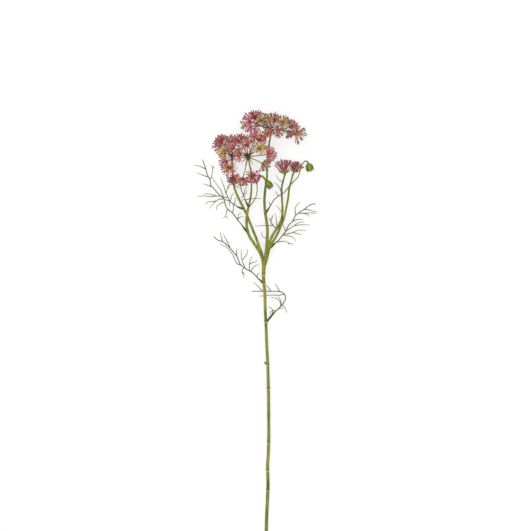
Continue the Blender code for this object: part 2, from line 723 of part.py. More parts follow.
def ray_route(hub, burst):
    """A ray from its umbel's hub that bends round to meet the burst's core from behind."""
    core = np.array(burst[0], dtype=float)
    back = unit(unit(np.array(hub) - core) - unit(burst[1]))
    surface = 1 / np.linalg.norm(back / burst_core(burst))
    end = core + back * (surface + SEAT_GAP)
    bend = 0.5 * (np.array(hub) + end) + RAY_BOW * np.linalg.norm(end - hub) * back
    points = [(*hub, RAY_RADIUS), (*bend, RAY_RADIUS), (*end, RAY_RADIUS)]
    return smooth_route(points, RAY_SPACING)


def hub_bract_route(hub, end):
    """A short bract that leaves its hub and bows upwards."""
    bend = 0.5 * (np.array(hub) + np.array(end)) + (0, 0, HUB_BRACT_RISE)
    places = (hub, bend, end)
    return smooth_route([(*place, r) for place, r in zip(places, HUB_BRACT_RADII)], RAY_SPACING)


def stem_routes():
    """Every tube of the stem, each with the bevel resolution that its thickness needs."""
    routes = [(knotted_route(), 2)]
    for points in BRANCHES.values():
        routes.append((smooth_route(points, BRANCH_SPACING), 1))
    for points in TENDRILS:
        routes.append((smooth_route(points, RAY_SPACING), 0))
    for name, umbel in UMBELS.items():
        for burst in umbel["bursts"]:
            routes.append((ray_route(umbel["hub"], burst), 0))
        for end in HUB_BRACTS.get(name, []):
            routes.append((hub_bract_route(umbel["hub"], end), 0))
    return routes


def make_stem(material, collection, space):
    tubes = []
    for number, (route, resolution) in enumerate(stem_routes()):
        tubes.append(curve_object(f"stem_tube_{number}", route, resolution))
        space.add("stem", route)
    solids = as_meshes(tubes)
    for name, umbel in UMBELS.items():
        solids.append(ball(name + "_hub", umbel["hub"], HUB_RADIUS, HUB_SIDES, HUB_RINGS))
        space.add("stem", [(*umbel["hub"], HUB_RADIUS)])
    return finish_node("stem", solids, material, collection)


def stem_clearance(box_low, box_high):
    """The stem's tubes near a leaf, thicker by the seat gap, to cut the leaf clear of them."""
    thicker = []
    for number, (route, resolution) in enumerate(stem_routes()):
        inside = (route[:, :3] > box_low).all(axis=1) & (route[:, :3] < box_high).all(axis=1)
        if inside.any():
            wide = route.copy()
            wide[:, 3] += SEAT_GAP
            thicker.append(curve_object(f"clearance_{number}", wide, resolution))
    return as_meshes(thicker)


def leaf_routes(leaf):
    """The rib, thick at its sheath, and the strands that leave it."""
    height, slope_x, slope_y = leaf["heights"]
    root_x, root_y = leaf["rib"][0][:2]

    def placed(point, radius):
        level = height + slope_x * (point[0] - root_x) + slope_y * (point[1] - root_y)
        return (point[0], point[1], point[2] if len(point) > 2 else level, radius)

    rib = []
    travelled = 0.0
    for number, point in enumerate(leaf["rib"]):
        if number:
            before = leaf["rib"][number - 1]
            travelled += math.dist(before[:2], point[:2])
        share = number / (len(leaf["rib"]) - 1)
        radius = STRAND_ROOT_RADIUS + RIB_EXTRA_RADIUS * (1 - share)
        if travelled < leaf["sheath"]:
            radius = SHEATH_RADIUS
        rib.append(placed(point, radius))
    routes = [smooth_route(rib, LEAF_SPACING)]
    for strand in leaf["strands"]:
        points = []
        for number, point in enumerate(strand):
            share = number / (len(strand) - 1)
            radius = STRAND_ROOT_RADIUS * (1 - share) + STRAND_TIP_RADIUS * share
            points.append(placed(point, radius))
        routes.append(smooth_route(points, LEAF_SPACING))
    return routes


def make_leaf(name, leaf, material, collection, space, profile):
    strands = []
    routes = leaf_routes(leaf)
    for number, route in enumerate(routes):
        strands.append(curve_object(f"{name}_{number}", route, 0, profile))
        space.add(name, route)
    reach = np.vstack(routes)[:, :3]
    near_stem = stem_clearance(reach.min(axis=0) - CLEARANCE_REACH, reach.max(axis=0) + CLEARANCE_REACH)
    return finish_node(name, as_meshes(strands), material, collection, near_stem)


def bud_bract_routes(centre, half_width, half_length, tip):
    """Green bracts that hug the bud from its stalk end and stand off near its tip."""
    axis = unit(tip)
    side = unit(np.cross(axis, (0.0, 0.0, 1.0)))
    up = np.cross(side, axis)
    routes = []
    for number in range(BUD_BRACTS):
        turn = math.tau * number / BUD_BRACTS + BRACT_TURN
        out = math.cos(turn) * side + math.sin(turn) * up
        points = []
        for along, away, radius in BRACT_SHARES:
            place = np.array(centre) + axis * along * half_length + out * away * half_width
            points.append((*place, radius * BRACT_RADIUS))
        routes.append(smooth_route(points, LEAF_SPACING))
    return routes


def make_bud(name, bud, material, collection, space, profile):
    centre, half_width, half_length, tip = bud
    space.add(name, [(*centre, half_length)])
    bracts = []
    for number, route in enumerate(bud_bract_routes(*bud)):
        bracts.append(curve_object(f"{name}_bract_{number}", route, 0, profile))
        space.add(name, route)
    stretch = half_length / half_width
    body = ball(name + "_body", centre, half_width, BUD_SIDES, BUD_RINGS, stretch, tip)
    low = np.array(centre) - half_length - CLEARANCE_REACH
    high = np.array(centre) + half_length + CLEARANCE_REACH
    return finish_node(name, [body] + as_meshes(bracts), material, collection, stem_clearance(low, high))


def rod_length(root, direction, reach):
    """How far a rod may go before it meets the table."""
    if direction[2] >= 0:
        return reach
    return min(reach, (root[2] - ROD_LOWEST) / -direction[2])


def clear_rod(name, root, root_radius, heading, reach, draw, space):
    """A rod near its heading, bent or cut short to stay clear, or none at all."""
    for attempt in range(ROD_ATTEMPTS):
        wobble = np.array([draw.uniform(-1, 1) for _ in range(3)])
        direction = unit(heading + wobble * (ROD_WOBBLE + ROD_WOBBLE_STEP * attempt))
        wanted = reach * draw.uniform(*ROD_LENGTHS) * (1 - ROD_SHORTENING * attempt)
        length = rod_length(root, direction, wanted)
        if length < SHORTEST_ROD * reach:
            return None
        route = [(*root, root_radius), (*(root + direction * length), ROD_TIP_RADIUS)]
        if space.clearance(name, route) >= ROD_GAP:
            return route
    return None


def make_burst(name, burst, materials, collection, space):
    """A core whose facets on the side that it faces are drawn out into rods."""
    core = np.array(burst[0], dtype=float)
    axis = unit(burst[1])
    reach, opening, colour = burst[2:5]
    half_sizes = burst_core(burst)
    gather = 0.0 if half_sizes.max() == half_sizes.min() else CUP_GATHER
    draw = random.Random(name)
    shape = bmesh.new()
    bmesh.ops.create_icosphere(shape, subdivisions=CORE_DIVISIONS, radius=1.0)
    spin = Matrix.Rotation(draw.uniform(0, math.tau), 3, "Z") @ Matrix.Rotation(draw.uniform(0, 1), 3, "X")
    bmesh.ops.rotate(shape, verts=shape.verts, matrix=spin)
    shape.normal_update()
    least = math.cos(math.radians(opening))
    open_facets = [(f, np.array(f.normal)) for f in shape.faces if np.dot(f.normal, axis) > least]
    for vertex in shape.verts:
        vertex.co = Vector(half_sizes * vertex.co)
    for facet, normal in open_facets:
        middle = facet.calc_center_median()
        root_radius = max((vertex.co - middle).length for vertex in facet.verts)
        heading = unit(normal + gather * axis)
        own_reach = reach - half_sizes.min()
        route = clear_rod(name, core + middle, root_radius, heading, own_reach, draw, space)
        if route is None:
            continue
        space.add(name, route)
        drawn = bmesh.ops.extrude_discrete_faces(shape, faces=[facet])["faces"][0]
        for vertex in drawn.verts:
            vertex.co = Vector(route[1][:3] - core) + (vertex.co - middle).normalized() * ROD_TIP_RADIUS
    for vertex in shape.verts:
        vertex.co = (vertex.co + Vector(core)) * MM
    mesh = bpy.data.meshes.new(name)
    shape.to_mesh(mesh)
    shape.free()
    body = bpy.data.objects.new(name, mesh)
    bpy.context.scene.collection.objects.link(body)
    cutters = []
    if core[2] < reach:
        cutters.append(table_block())
    return finish_node(name, [body], materials[colour], collection, cutters)


def main():
    clear_scene()
    scene = bpy.context.scene
    part = bpy.data.collections.new(PART_NAME)
    guides = bpy.data.collections.new("guides")
    scene.collection.children.link(part)
    scene.collection.children.link(guides)
    materials = make_materials()
    profile = rod_profile(guides)
    space = Space()
    nodes = [make_stem(materials["stem_green"], part, space)]
    for name, bud in BUDS.items():
        nodes.append(make_bud(name, bud, materials["bud_green"], part, space, profile))
    for name, leaf in LEAVES.items():
        nodes.append(make_leaf(name, leaf, materials["leaf_green"], part, space, profile))
    bursts = {}
    for umbel_name, umbel in UMBELS.items():
        for number, burst in enumerate(umbel["bursts"], start=1):
            bursts[f"{umbel_name}_burst_{number}"] = burst
    for name, burst in bursts.items():
        space.add(name, core_route(burst))
    for name, burst in bursts.items():
        nodes.append(make_burst(name, burst, materials, part, space))
    bpy.data.objects.remove(profile, do_unlink=True)
    middle = bpy.data.objects.new("middle", None)
    middle.location = (-MIDDLE_X * MM, -MIDDLE_Y * MM, 0)
    part.objects.link(middle)
    for node in nodes:
        node.parent = middle


main()
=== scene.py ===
import math
import random

import bpy
import numpy as np
from mathutils import Matrix, Vector
from mathutils.kdtree import KDTree


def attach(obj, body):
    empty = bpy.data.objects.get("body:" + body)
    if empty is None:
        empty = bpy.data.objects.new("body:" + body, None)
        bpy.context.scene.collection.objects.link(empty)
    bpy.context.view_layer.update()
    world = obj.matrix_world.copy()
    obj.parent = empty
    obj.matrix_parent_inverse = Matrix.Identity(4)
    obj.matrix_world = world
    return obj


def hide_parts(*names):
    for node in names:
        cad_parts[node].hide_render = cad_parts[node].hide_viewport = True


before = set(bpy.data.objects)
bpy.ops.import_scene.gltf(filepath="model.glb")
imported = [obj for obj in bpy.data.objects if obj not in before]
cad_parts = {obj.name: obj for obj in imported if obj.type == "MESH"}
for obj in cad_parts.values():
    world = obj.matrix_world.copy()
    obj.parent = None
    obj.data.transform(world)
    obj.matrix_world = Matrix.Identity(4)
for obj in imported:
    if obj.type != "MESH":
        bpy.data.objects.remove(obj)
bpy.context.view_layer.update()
print("frame loaded with", len(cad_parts), "solids")

# Places are in millimetres on the table, from the point under the stem's cut end. The shifts and the unit
# move them to the frame. Corners nearer than "weld" are merged.
table = {"shiftX": 14.25, "shiftY": -326.43, "unit": 0.001, "weld": 0.000002}


def toFrame(point):
    return Vector((point[0] + table["shiftX"], point[1] + table["shiftY"], point[2])) * table["unit"]


def millimetres(point):  # a place on the table, from the frame's own origin
    return np.array(toFrame(point)) / table["unit"]


def unitVector(values):
    values = np.array(values, dtype=float)
    return values / np.linalg.norm(values)


def smoothRoute(points, spacing):  # a smooth line through the given points, radius included
    given = np.array(points, dtype=float)
    lengths = np.linalg.norm(np.diff(given[:, :3], axis=0), axis=1)
    slopes = np.diff(given, axis=0) / lengths[:, None]
    tangents = np.vstack([slopes[:1], slopes])
    for i in range(1, len(given) - 1):
        share = lengths[i] / (lengths[i - 1] + lengths[i])
        tangents[i] = share * slopes[i - 1] + (1 - share) * slopes[i]
    route = [given[0]]
    for i, length in enumerate(lengths):
        steps = max(1, round(length / spacing))
        for step in range(1, steps + 1):
            t = step / steps
            start = (2 * t**3 - 3 * t**2 + 1) * given[i] + (3 * t**2 - 2 * t**3) * given[i + 1]
            bend = (t**3 - 2 * t**2 + t) * tangents[i] + (t**3 - t**2) * tangents[i + 1]
            route.append(start + bend * length)
    return np.array(route)


def putInScene(name, data):
    made = bpy.data.objects.new(name, data)
    bpy.context.scene.collection.objects.link(made)
    return made


def layTube(route, roundness):  # a tube of the route's own radius at each point
    line = bpy.data.curves.new("tube", "CURVE")
    line.dimensions = "3D"
    line.use_fill_caps = True
    line.bevel_depth = table["unit"]
    line.bevel_resolution = roundness
    spline = line.splines.new("POLY")
    spline.points.add(len(route) - 1)
    for point, values in zip(spline.points, route):
        point.co = (*toFrame(values), 1)
        point.radius = values[3]
    return putInScene("tube", line)


def joinAs(name, pieces):  # one mesh from several, with shared corners merged and faces turned outwards
    deselectAll()
    for piece in pieces:
        piece.select_set(True)
    bpy.context.view_layer.objects.active = pieces[0]
    if any(piece.type == "CURVE" for piece in pieces):
        bpy.ops.object.convert(target="MESH")
    if len(pieces) > 1:
        bpy.ops.object.join()
    whole = bpy.context.view_layer.objects.active
    whole.name = whole.data.name = name
    bpy.ops.object.mode_set(mode="EDIT")
    bpy.ops.mesh.select_all(action="SELECT")
    bpy.ops.mesh.remove_doubles(threshold=table["weld"])
    bpy.ops.mesh.normals_make_consistent(inside=False)
    bpy.ops.object.mode_set(mode="OBJECT")
    bpy.ops.object.shade_smooth()
    return whole


def deselectAll():
    bpy.ops.object.select_all(action="DESELECT")


def growShape(name, sides, rings):  # rings of x, z, half width and half depth, each extruded from the last
    deselectAll()
    bpy.ops.mesh.primitive_circle_add(vertices=sides, radius=1, fill_type="NGON", location=(0, 0, 0))
    shape = bpy.context.active_object
    shape.name = name
    bpy.ops.object.mode_set(mode="EDIT")
    x, z, wide, deep = 0, 0, 1, 1
    for number, ring in enumerate(rings):
        move = (ring[0] - x, 0, ring[1] - z)
        if number:
            bpy.ops.mesh.extrude_region_move(TRANSFORM_OT_translate={"value": move})
        else:
            bpy.ops.transform.translate(value=move)
        grow = (ring[2] / wide, ring[3] / deep, 1)
        bpy.ops.transform.resize(value=grow, center_override=(ring[0], 0, ring[1]))
        x, z, wide, deep = ring
    bpy.ops.mesh.select_all(action="SELECT")
    bpy.ops.mesh.normals_make_consistent(inside=False)
    bpy.ops.object.mode_set(mode="OBJECT")
    bpy.ops.object.shade_smooth()
    return shape


def pointValues(piece, name, values):  # one number or a number for each corner, for the finishes to read
    layer = piece.data.attributes.get(name) or piece.data.attributes.new(name, "FLOAT", "POINT")
    full = np.zeros(len(piece.data.vertices), np.float32) + np.array(values, np.float32)
    layer.data.foreach_set("value", full)


def cornerPlaces(piece):
    places = np.zeros(len(piece.data.vertices) * 3, np.float32)
    piece.data.vertices.foreach_get("co", places)
    return places.reshape(-1, 3)


def faded(distance, start, length):  # 1 near by and 0 further off than start times length
    return np.clip(start - distance / length, 0, 1)


def searchTree(points):
    tree = KDTree(len(points))
    for number, point in enumerate(points):
        tree.insert(Vector(point), number)
    tree.balance()
    return tree


def layCopy(model, place, tone):  # a copy of a model with its own mesh, put in its place
    mesh = model.data.copy()
    mesh.transform(place)
    copy = putInScene(model.name, mesh)
    pointValues(copy, "tone", tone)
    return copy


def finishPiece(piece, nodeNames, slotName):
    piece.data.materials.clear()
    piece.data.materials.append(finishes[slotName])
    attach(piece, "root")
    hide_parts(*nodeNames)


class Strand:  # a socket that takes part in sums
    def __init__(self, tree, socket):
        self.tree = tree
        self.socket = socket

    def plug(self, socket, value):
        if isinstance(value, Strand):
            self.tree.links.new(value.socket, socket)
        elif isinstance(value, tuple) and len(value) == 3 and socket.type == "RGBA":
            socket.default_value = (*value, 1)
        else:
            socket.default_value = value

    def node(self, kind, settings, inputs, output=0):
        made = self.tree.nodes.new("ShaderNode" + kind)
        for key, value in settings.items():
            if key == "stops":
                self.setStops(made.color_ramp, value)
            else:
                setattr(made, key, value)
        for key, value in inputs.items():
            self.plug(made.inputs[key], value)
        return Strand(self.tree, made.outputs[output])

    def setStops(self, ramp, stops):
        ramp.elements.remove(ramp.elements[1])  # the first of its own two is at 0, as the first stop is
        for position, colour in stops:
            stop = ramp.elements.new(position) if position else ramp.elements[0]
            stop.color = (*colour, 1)

    def sum(self, operation, first, second):
        return self.node("Math", {"operation": operation}, {0: first, 1: second})

    def __add__(self, other):
        return self.sum("ADD", self, other)

    def __sub__(self, other):
        return self.sum("SUBTRACT", self, other)

    def __rsub__(self, other):
        return self.sum("SUBTRACT", other, self)

    def __mul__(self, other):
        return self.sum("MULTIPLY", self, other)

    __radd__ = __add__
    __rmul__ = __mul__

    def between(self, low, high):  # 0 at low and 1 at high, smoothly
        inputs = {"Value": self, "From Min": low, "From Max": high}
        return self.node("MapRange", {"interpolation_type": "SMOOTHSTEP"}, inputs)

    def blend(self, first, second):  # first where this is 0, second where it is 1
        return self.node("Mix", {"data_type": "RGBA"}, {0: self, 6: first, 7: second}, output=2)


def startMaterial(name, gloss, fixed):
    material = bpy.data.materials.new(name)
    material.use_nodes = True
    tree = material.node_tree
    shader = tree.nodes["Principled BSDF"]
    for socketName, value in {"Specular IOR Level": gloss, **fixed}.items():
        shader.inputs[socketName].default_value = value
    coordinates = tree.nodes.new("ShaderNodeTexCoord")
    return material, shader, Strand(tree, coordinates.outputs["Object"])


def grain(place, scale, detail):
    inputs = {"Vector": place, "Scale": scale, "Detail": detail, "Roughness": 0.55}
    return place.node("TexNoise", {}, inputs)


def readValue(place, name):
    return place.node("Attribute", {"attribute_name": name}, {}, output=2)


def paint(colour, look, layers):  # lays the look's colours over each other, each where its own mask is 1
    for name, mask in layers:
        colour = mask.blend(colour, look[name])
    return colour


def dress(place, shader, colour, roughness, height, bump):
    place.plug(shader.inputs["Base Color"], colour)
    place.plug(shader.inputs["Roughness"], roughness)
    inputs = {"Height": height, "Strength": bump[0], "Distance": bump[1]}
    place.plug(shader.inputs["Normal"], place.node("Bump", {}, inputs))


# Routes and places in millimetres, as in the solids. A round burst's core has these half sizes.
roundCore = (2.2, 2.2, 2.2)

# The main stem as x, y, z and radius, from the cut end to where the branches part
mainStem = [
    (1.5, 0, 2.6, 2.6), (2.6, 42, 3.8, 2.5), (4.5, 94, 5.9, 2.4), (3.9, 112, 6.8, 2.4), (5.3, 140, 8.2, 2.35),
    (5.6, 188, 10.6, 2.3), (5, 237, 12.9, 2.3), (4.1, 270, 14.4, 2.25), (2.4, 306, 15.9, 2.2),
    (1.4, 332, 17, 2.2), (0.4, 350, 17.7, 2.2), (0, 368, 18.4, 2.2), (-0.4, 382, 18.9, 2.25),
    (-1.8, 393, 19.4, 2.35), (-2.2, 400, 19.7, 2.5), (-1.9, 413, 20.2, 2.8), (-1.3, 425, 20.6, 3.1),
]

# Knots on the main stem: distance along it and how far each stands out
knots = [(80, 0.35), (110, 0.2), (152, 0.35), (234, 0.55), (270, 0.4), (335, 0.4), (393, 0.3), (406, 0.3)]

# Side branches: centre, left front, left back, right inner, right outer, and the buds' two stalks
branches = [
    [(-1.6, 418, 20.4, 2.4), (0.4, 430, 21, 2.35), (2.2, 445, 22, 2.3), (3.2, 458, 22.8, 2.25),
     (3.8, 472, 23.6, 2.2), (1.9, 488, 24.6, 2.1), (-0.3, 504, 25.8, 2), (-0.7, 520, 27.2, 1.9),
     (0.8, 536, 28.7, 1.8), (2.8, 550, 30.2, 1.65), (3.2, 570, 32.2, 1.5), (5.2, 595, 34.8, 1.4),
     (7.5, 608, 36, 1.3), (10.5, 621, 37, 1.2)],
    [(-2.4, 420, 20.4, 2.1), (-4.4, 431, 21.2, 2.1), (-9, 441, 22, 2.1), (-17, 453, 23, 2.1),
     (-23.8, 464, 23.9, 2.05), (-26.9, 475, 24.7, 2.05), (-27.6, 487, 25.7, 2.05), (-26.4, 498, 27.2, 1.9),
     (-24.4, 508, 29.2, 1.6), (-22, 518, 31.4, 1.4), (-20.2, 535, 35.4, 1.3), (-20.8, 556, 40.4, 1.25),
     (-23, 570, 43.4, 1.2), (-25.5, 580.5, 46, 1.2)],
    [(-2.6, 422, 20.4, 2.1), (-4.4, 435, 20.6, 2.1), (-9.2, 449, 20.8, 2.05), (-13.2, 460, 20.9, 2),
     (-18, 472, 20.9, 1.85), (-23.2, 485, 20.9, 1.85), (-27.6, 496, 20.8, 1.85), (-33, 507, 20.4, 1.85),
     (-39.6, 520, 19.8, 1.75), (-45, 533, 19, 1.6), (-47.6, 546, 18, 1.5), (-48.4, 562, 17, 1.35),
     (-49, 583, 16, 1.3)],
    [(0.8, 437, 21.3, 2), (4.7, 448, 21.6, 2), (8, 457.5, 21.5, 2), (12, 465.5, 21.2, 2),
     (16.6, 473, 20.7, 1.95), (21.2, 480.5, 20.1, 1.85), (24.4, 488, 19.2, 1.7), (26.2, 499, 17.8, 1.6),
     (26, 512, 15.8, 1.5), (25.2, 525, 13.6, 1.4), (25.4, 538, 11.5, 1.35), (28, 549, 9.9, 1.25),
     (30, 556.5, 9, 1.2)],
    [(-1.2, 419, 20.5, 2.3), (2, 427.5, 20.9, 2.3), (3.8, 435, 21.1, 2.25), (5.6, 442.5, 21.2, 2.2),
     (9, 450, 21.3, 2.1), (13.8, 458, 21.2, 1.95), (18.8, 467, 20.7, 1.85), (24, 479, 19.7, 1.75),
     (28.2, 490, 18.4, 1.65), (31.8, 505, 16.2, 1.55), (35, 522, 13.4, 1.5), (36.4, 535, 11.4, 1.4),
     (39.8, 548, 9.8, 1.3), (42, 556.5, 9, 1.2)],
    [(-25, 505, 28.4, 0.9), (-21.6, 509, 29.6, 0.85), (-17, 515, 31, 0.8), (-13, 523, 32.8, 0.75),
     (-11.6, 533, 35, 0.7), (-11.6, 543, 37.2, 0.8), (-9, 550.5, 39, 1.05), (-4.6, 552, 40, 1.3),
     (-0.2, 547.4, 39.6, 1.45), (1.03, 545.82, 39.4, 1.4)],
    [(37.4, 540, 11, 0.9), (44.6, 547, 13, 0.8), (50.4, 554, 17, 0.75), (53, 563, 20.5, 0.8),
     (56.4, 572, 21.5, 0.95), (60.6, 576, 19, 1.1), (64.1, 575, 15.2, 1.2), (64.77, 573.23, 14.54, 1.2)],
]

# Fine curled tendrils and bracts on the stem
tendrils = [
    [(-47.2, 541, 18.4, 0.6), (-42, 537, 20, 0.5), (-36.4, 535, 21, 0.42)],
    [(-46.6, 541, 18.4, 0.6), (-53, 540, 20, 0.5), (-55.2, 533, 20.5, 0.42)],
    [(-47, 543, 18.2, 0.6), (-54, 549, 17, 0.5), (-60, 557, 16, 0.42)],
    [(2.6, 460, 22.9, 0.6), (-3.6, 462.5, 24, 0.5), (-5.4, 470, 24.6, 0.42)],
    [(25.8, 497, 18, 0.6), (21.8, 504, 18.5, 0.5), (16.2, 510, 19, 0.42)],
    [(26, 545, 10.4, 0.6), (20.6, 549, 11, 0.5), (16.6, 556, 11, 0.42)],
    [(3.9, 268, 14.2, 1), (1.2, 272.4, 14.6, 0.6)],
]

# Ends of the short bracts round each umbel's hub
hubBracts = {
    "top": [
        (1.5, 622, 40), (19.5, 624.5, 39.5), (3.5, 613.5, 36.5), (17.5, 613, 36), (8, 630, 40), (15, 629, 38),
    ],
    "mid": [
        (-15.5, 589.5, 50), (-12.5, 581.5, 47), (-13.5, 574.5, 45), (-17.5, 569, 44), (-29, 567.5, 43),
        (-35, 571, 44), (-38, 577.5, 46), (-33.5, 588, 50), (-27, 592, 48), (-20.5, 591.5, 46),
    ],
    "left": [(-57.5, 580.5, 19), (-41, 586.5, 18.5), (-42.5, 577, 17.5), (-52, 573, 17), (-45.5, 592, 18)],
}

# Umbels: each hub, then each burst's core, facing, reach, colour and, for a cup, core sizes
umbels = {}
umbels["top"] = {
    "hub": (10.5, 621, 37), "bursts": [
        ((-21, 632, 36), (-1, 0.1, 0.1), 17, "pink"), ((-4, 634, 44), (-0.2, 0.3, 1), 13, "tan"),
        ((13, 635, 29), (0.1, 1, -0.1), 14, "pink"), ((26, 630, 45), (0.1, 0.2, 1), 13, "tan"),
        ((38, 625, 34), (0.8, 0.5, 0.3), 14, "pink"), ((45, 618.5, 29), (1, -0.3, 0.1), 19, "tan"),
        ((6, 612, 47), (-0.7, 0.6, 0.6), 12, "salmon"), ((-14, 640, 24), (-0.5, 0.8, -0.3), 13, "crimson"),
        ((-11, 626.5, 47), (-0.5, -0.1, 1), 11, "pink"), ((20, 619.5, 48), (0.3, -0.3, 1), 12, "salmon"),
        ((6, 632, 51), (-0.1, 0.2, 1), 10, "tan"), ((34.5, 620, 23), (0.4, -0.7, 0.2), 11, "pink"),
    ],
}
umbels["mid"] = {
    "hub": (-25.5, 580.5, 44), "bursts": [
        ((-10, 604, 50), (0.5, 0.8, 0.2), 14, "pink"), ((-8, 591, 61), (0.2, 0.2, 1), 12, "tan"),
        ((4, 583, 50), (0.9, 0.1, 0.3), 14, "pink"), ((-3, 570, 47), (0.9, -0.5, 0.2), 13, "tan"),
        ((-18, 552, 55), (0.2, -0.8, 0.6), 14, "crimson"), ((-33, 548, 44), (-0.5, -0.9, 0.2), 13, "salmon"),
        ((-37, 583, 51), (-0.8, 0.1, 0.6), 12, "pink"), ((-26, 596, 60), (0, 0.4, 0.9), 14, "salmon"),
        ((-35, 602, 44), (-0.3, 1, 0.1), 14, "crimson"), ((-14.5, 608.5, 40), (0.1, 1, -0.2), 12, "pink"),
        ((-46, 594, 38), (-0.9, 0.5, 0.1), 12, "pink"),
    ],
}
umbels["left"] = {
    "hub": (-49, 583, 16), "bursts": [
        ((-67, 600, 1.7), (-0.8, 0.6, 0.4), 14, "pink"), ((-61, 589, 18), (-0.3, 0.1, 1), 12, "tan"),
        ((-52, 605, 1.7), (0.1, 1, 0.4), 14, "tan"), ((-49, 601, 21), (-0.1, 0.6, 0.8), 13, "salmon"),
        ((-53, 566, 23), (-0.4, -0.2, 0.9), 14, "salmon"), ((-48, 551, 23), (0.1, -0.6, 0.8), 11, "crimson"),
        ((-58, 576, 1.7), (-1, -0.1, 0.4), 13, "crimson"), ((-65, 605, 17), (-0.7, 0.6, 0.4), 12, "crimson"),
    ],
}
umbels["right_inner"] = {
    "hub": (30, 556.5, 9), "bursts": [
        ((29, 560.8, 4), (-0.05, 1, 0.2), 20.5, "pink", (4, 3, 4.4)),
    ],
}
umbels["right_outer"] = {
    "hub": (42, 556.5, 9), "bursts": [
        ((44.6, 562.5, 4), (0.3, 1, 0.2), 15, "pink", (4, 3, 4.4)),
    ],
}

# Buds: centre, half width, half length and the way the tip points
buds = {
    "bud_right": ((66.8, 567.4, 12.5), 5.2, 6.2, (0.35, -1, -0.35)),
    "bud_middle": ((5.4, 540, 38.8), 4.6, 7, (0.75, -1, -0.1)),
}

# Leaves: heights at the root and along X and Y, sheath length, then the rib and its strands
leaves = {}
leaves["leaf_upper_left"] = {
    "heights": (24.3, 0.16, -0.07), "sheath": 12, "routes": [
        [(-26.5, 469), (-30.5, 474), (-34.5, 479.5), (-41.3, 488), (-48.8, 498), (-57.3, 505.3), (-60, 512),
         (-62.4, 521), (-67, 524.2), (-78, 536), (-81, 539), (-83.3, 549.3), (-87, 556), (-89.5, 565),
         (-94.5, 580)],
        [(-89.5, 565), (-98, 569), (-108, 571.5)], [(-85, 552.5), (-94.5, 555.8), (-104, 560.3)],
        [(-83.3, 549), (-80.4, 553), (-80, 559), (-79, 566), (-81.5, 571)], [(-79, 565), (-76.5, 570.5)],
        [(-62.8, 521), (-65.4, 530.4), (-72.5, 541), (-79.8, 552)],
        [(-80.7, 538), (-89.6, 541.5), (-94, 543)],
        [(-67, 524), (-72.5, 523.7), (-79, 526), (-88, 527.3), (-93.5, 526.5)],
        [(-73, 523.8), (-80, 523.2), (-89, 523.8), (-103, 523.8)],
        [(-62.5, 519), (-69, 519), (-75.5, 514.3), (-84.5, 505)],
        [(-72.5, 516.5), (-80, 515.5), (-86, 515), (-91, 510.8)],
        [(-61, 515), (-66, 513), (-73, 506.5), (-72.6, 502)],
        [(-56, 504.6), (-58, 499), (-59.2, 493), (-64, 490)], [(-59.2, 493.4), (-55.3, 489.5)],
        [(-40.6, 487.6), (-39.8, 495), (-35.6, 498.6)], [(-42, 489.4), (-37.5, 491.4), (-31.6, 492.8)],
        [(-48.6, 497.6), (-47.6, 504.5)],
    ],
}
leaves["leaf_lower_left"] = {
    "heights": (19.4, 0.12, -0.07), "sheath": 12, "routes": [
        [(-1, 390), (-4.6, 394.5), (-10.5, 400), (-15.2, 405), (-21.3, 410.3), (-26, 412.5), (-32, 416.5),
         (-36.6, 420), (-39.6, 426), (-42.8, 433.5), (-48, 440), (-52.7, 445.5), (-57.3, 450), (-64, 455.3),
         (-71, 457.5), (-78, 463)],
        [(-22.8, 411.6), (-23.6, 422.4), (-19, 434)],
        [(-23.6, 421), (-18, 424), (-14.4, 424.2), (-11.4, 427.8)],
        [(-21, 410.2), (-17.6, 416), (-13.5, 419.7), (-8, 419.8)], [(-30, 415.2), (-34.8, 428.5), (-36, 444)],
        [(-34.6, 427), (-29, 434), (-26, 441), (-27.5, 444.5)], [(-42.4, 432.6), (-42.8, 440), (-42, 445.5)],
        [(-36, 419.6), (-41, 421.5), (-49.6, 437), (-57.3, 446), (-68.5, 452.4)],
        [(-52.4, 445.2), (-56.8, 455), (-61, 462.5), (-62.8, 468)], [(-64, 455.3), (-66, 462), (-68, 470)],
        [(-31.6, 416), (-34.4, 411.7), (-33, 405), (-30.5, 400.6)], [(-33.4, 409), (-29.4, 404.6)],
        [(-12, 401.4), (-11.2, 406), (-9, 409)],
    ],
}
leaves["leaf_lower_right"] = {
    "heights": (16.8, 0, -0.16), "sheath": 14, "routes": [
        [(2.2, 334), (6, 339), (10.5, 344.5), (16.5, 351), (24, 358), (28.5, 363.6), (30.8, 369),
         (30.6, 373), (28.4, 377), (25, 379.3), (21, 380), (6, 380.4), (-10, 380.4), (-20.5, 380.4)],
        [(9, 380.4), (5, 386), (1.4, 390)], [(-3.4, 380.4), (-9, 386), (-17.4, 394.5)],
        [(28.8, 376), (22, 374.4), (10.4, 374.7), (-2, 373.4), (-9.4, 373)],
        [(22, 380), (18.6, 386.4), (14.6, 392.4)],
        [(23.4, 357.6), (23.6, 362), (19.4, 368.4), (14.6, 370.4), (8, 370.8)],
        [(24.4, 358.6), (24, 366), (20, 373)], [(25.6, 360), (29.4, 356.4), (31.8, 351), (33, 347.6)],
        [(10.4, 344.4), (11.2, 352.5), (8.6, 356), (3.8, 356.4)],
        [(16.4, 351), (11.8, 351.4), (8.4, 349), (8.2, 345.8)], [(18.6, 353.2), (24, 354.6), (28, 354.4)],
    ],
}
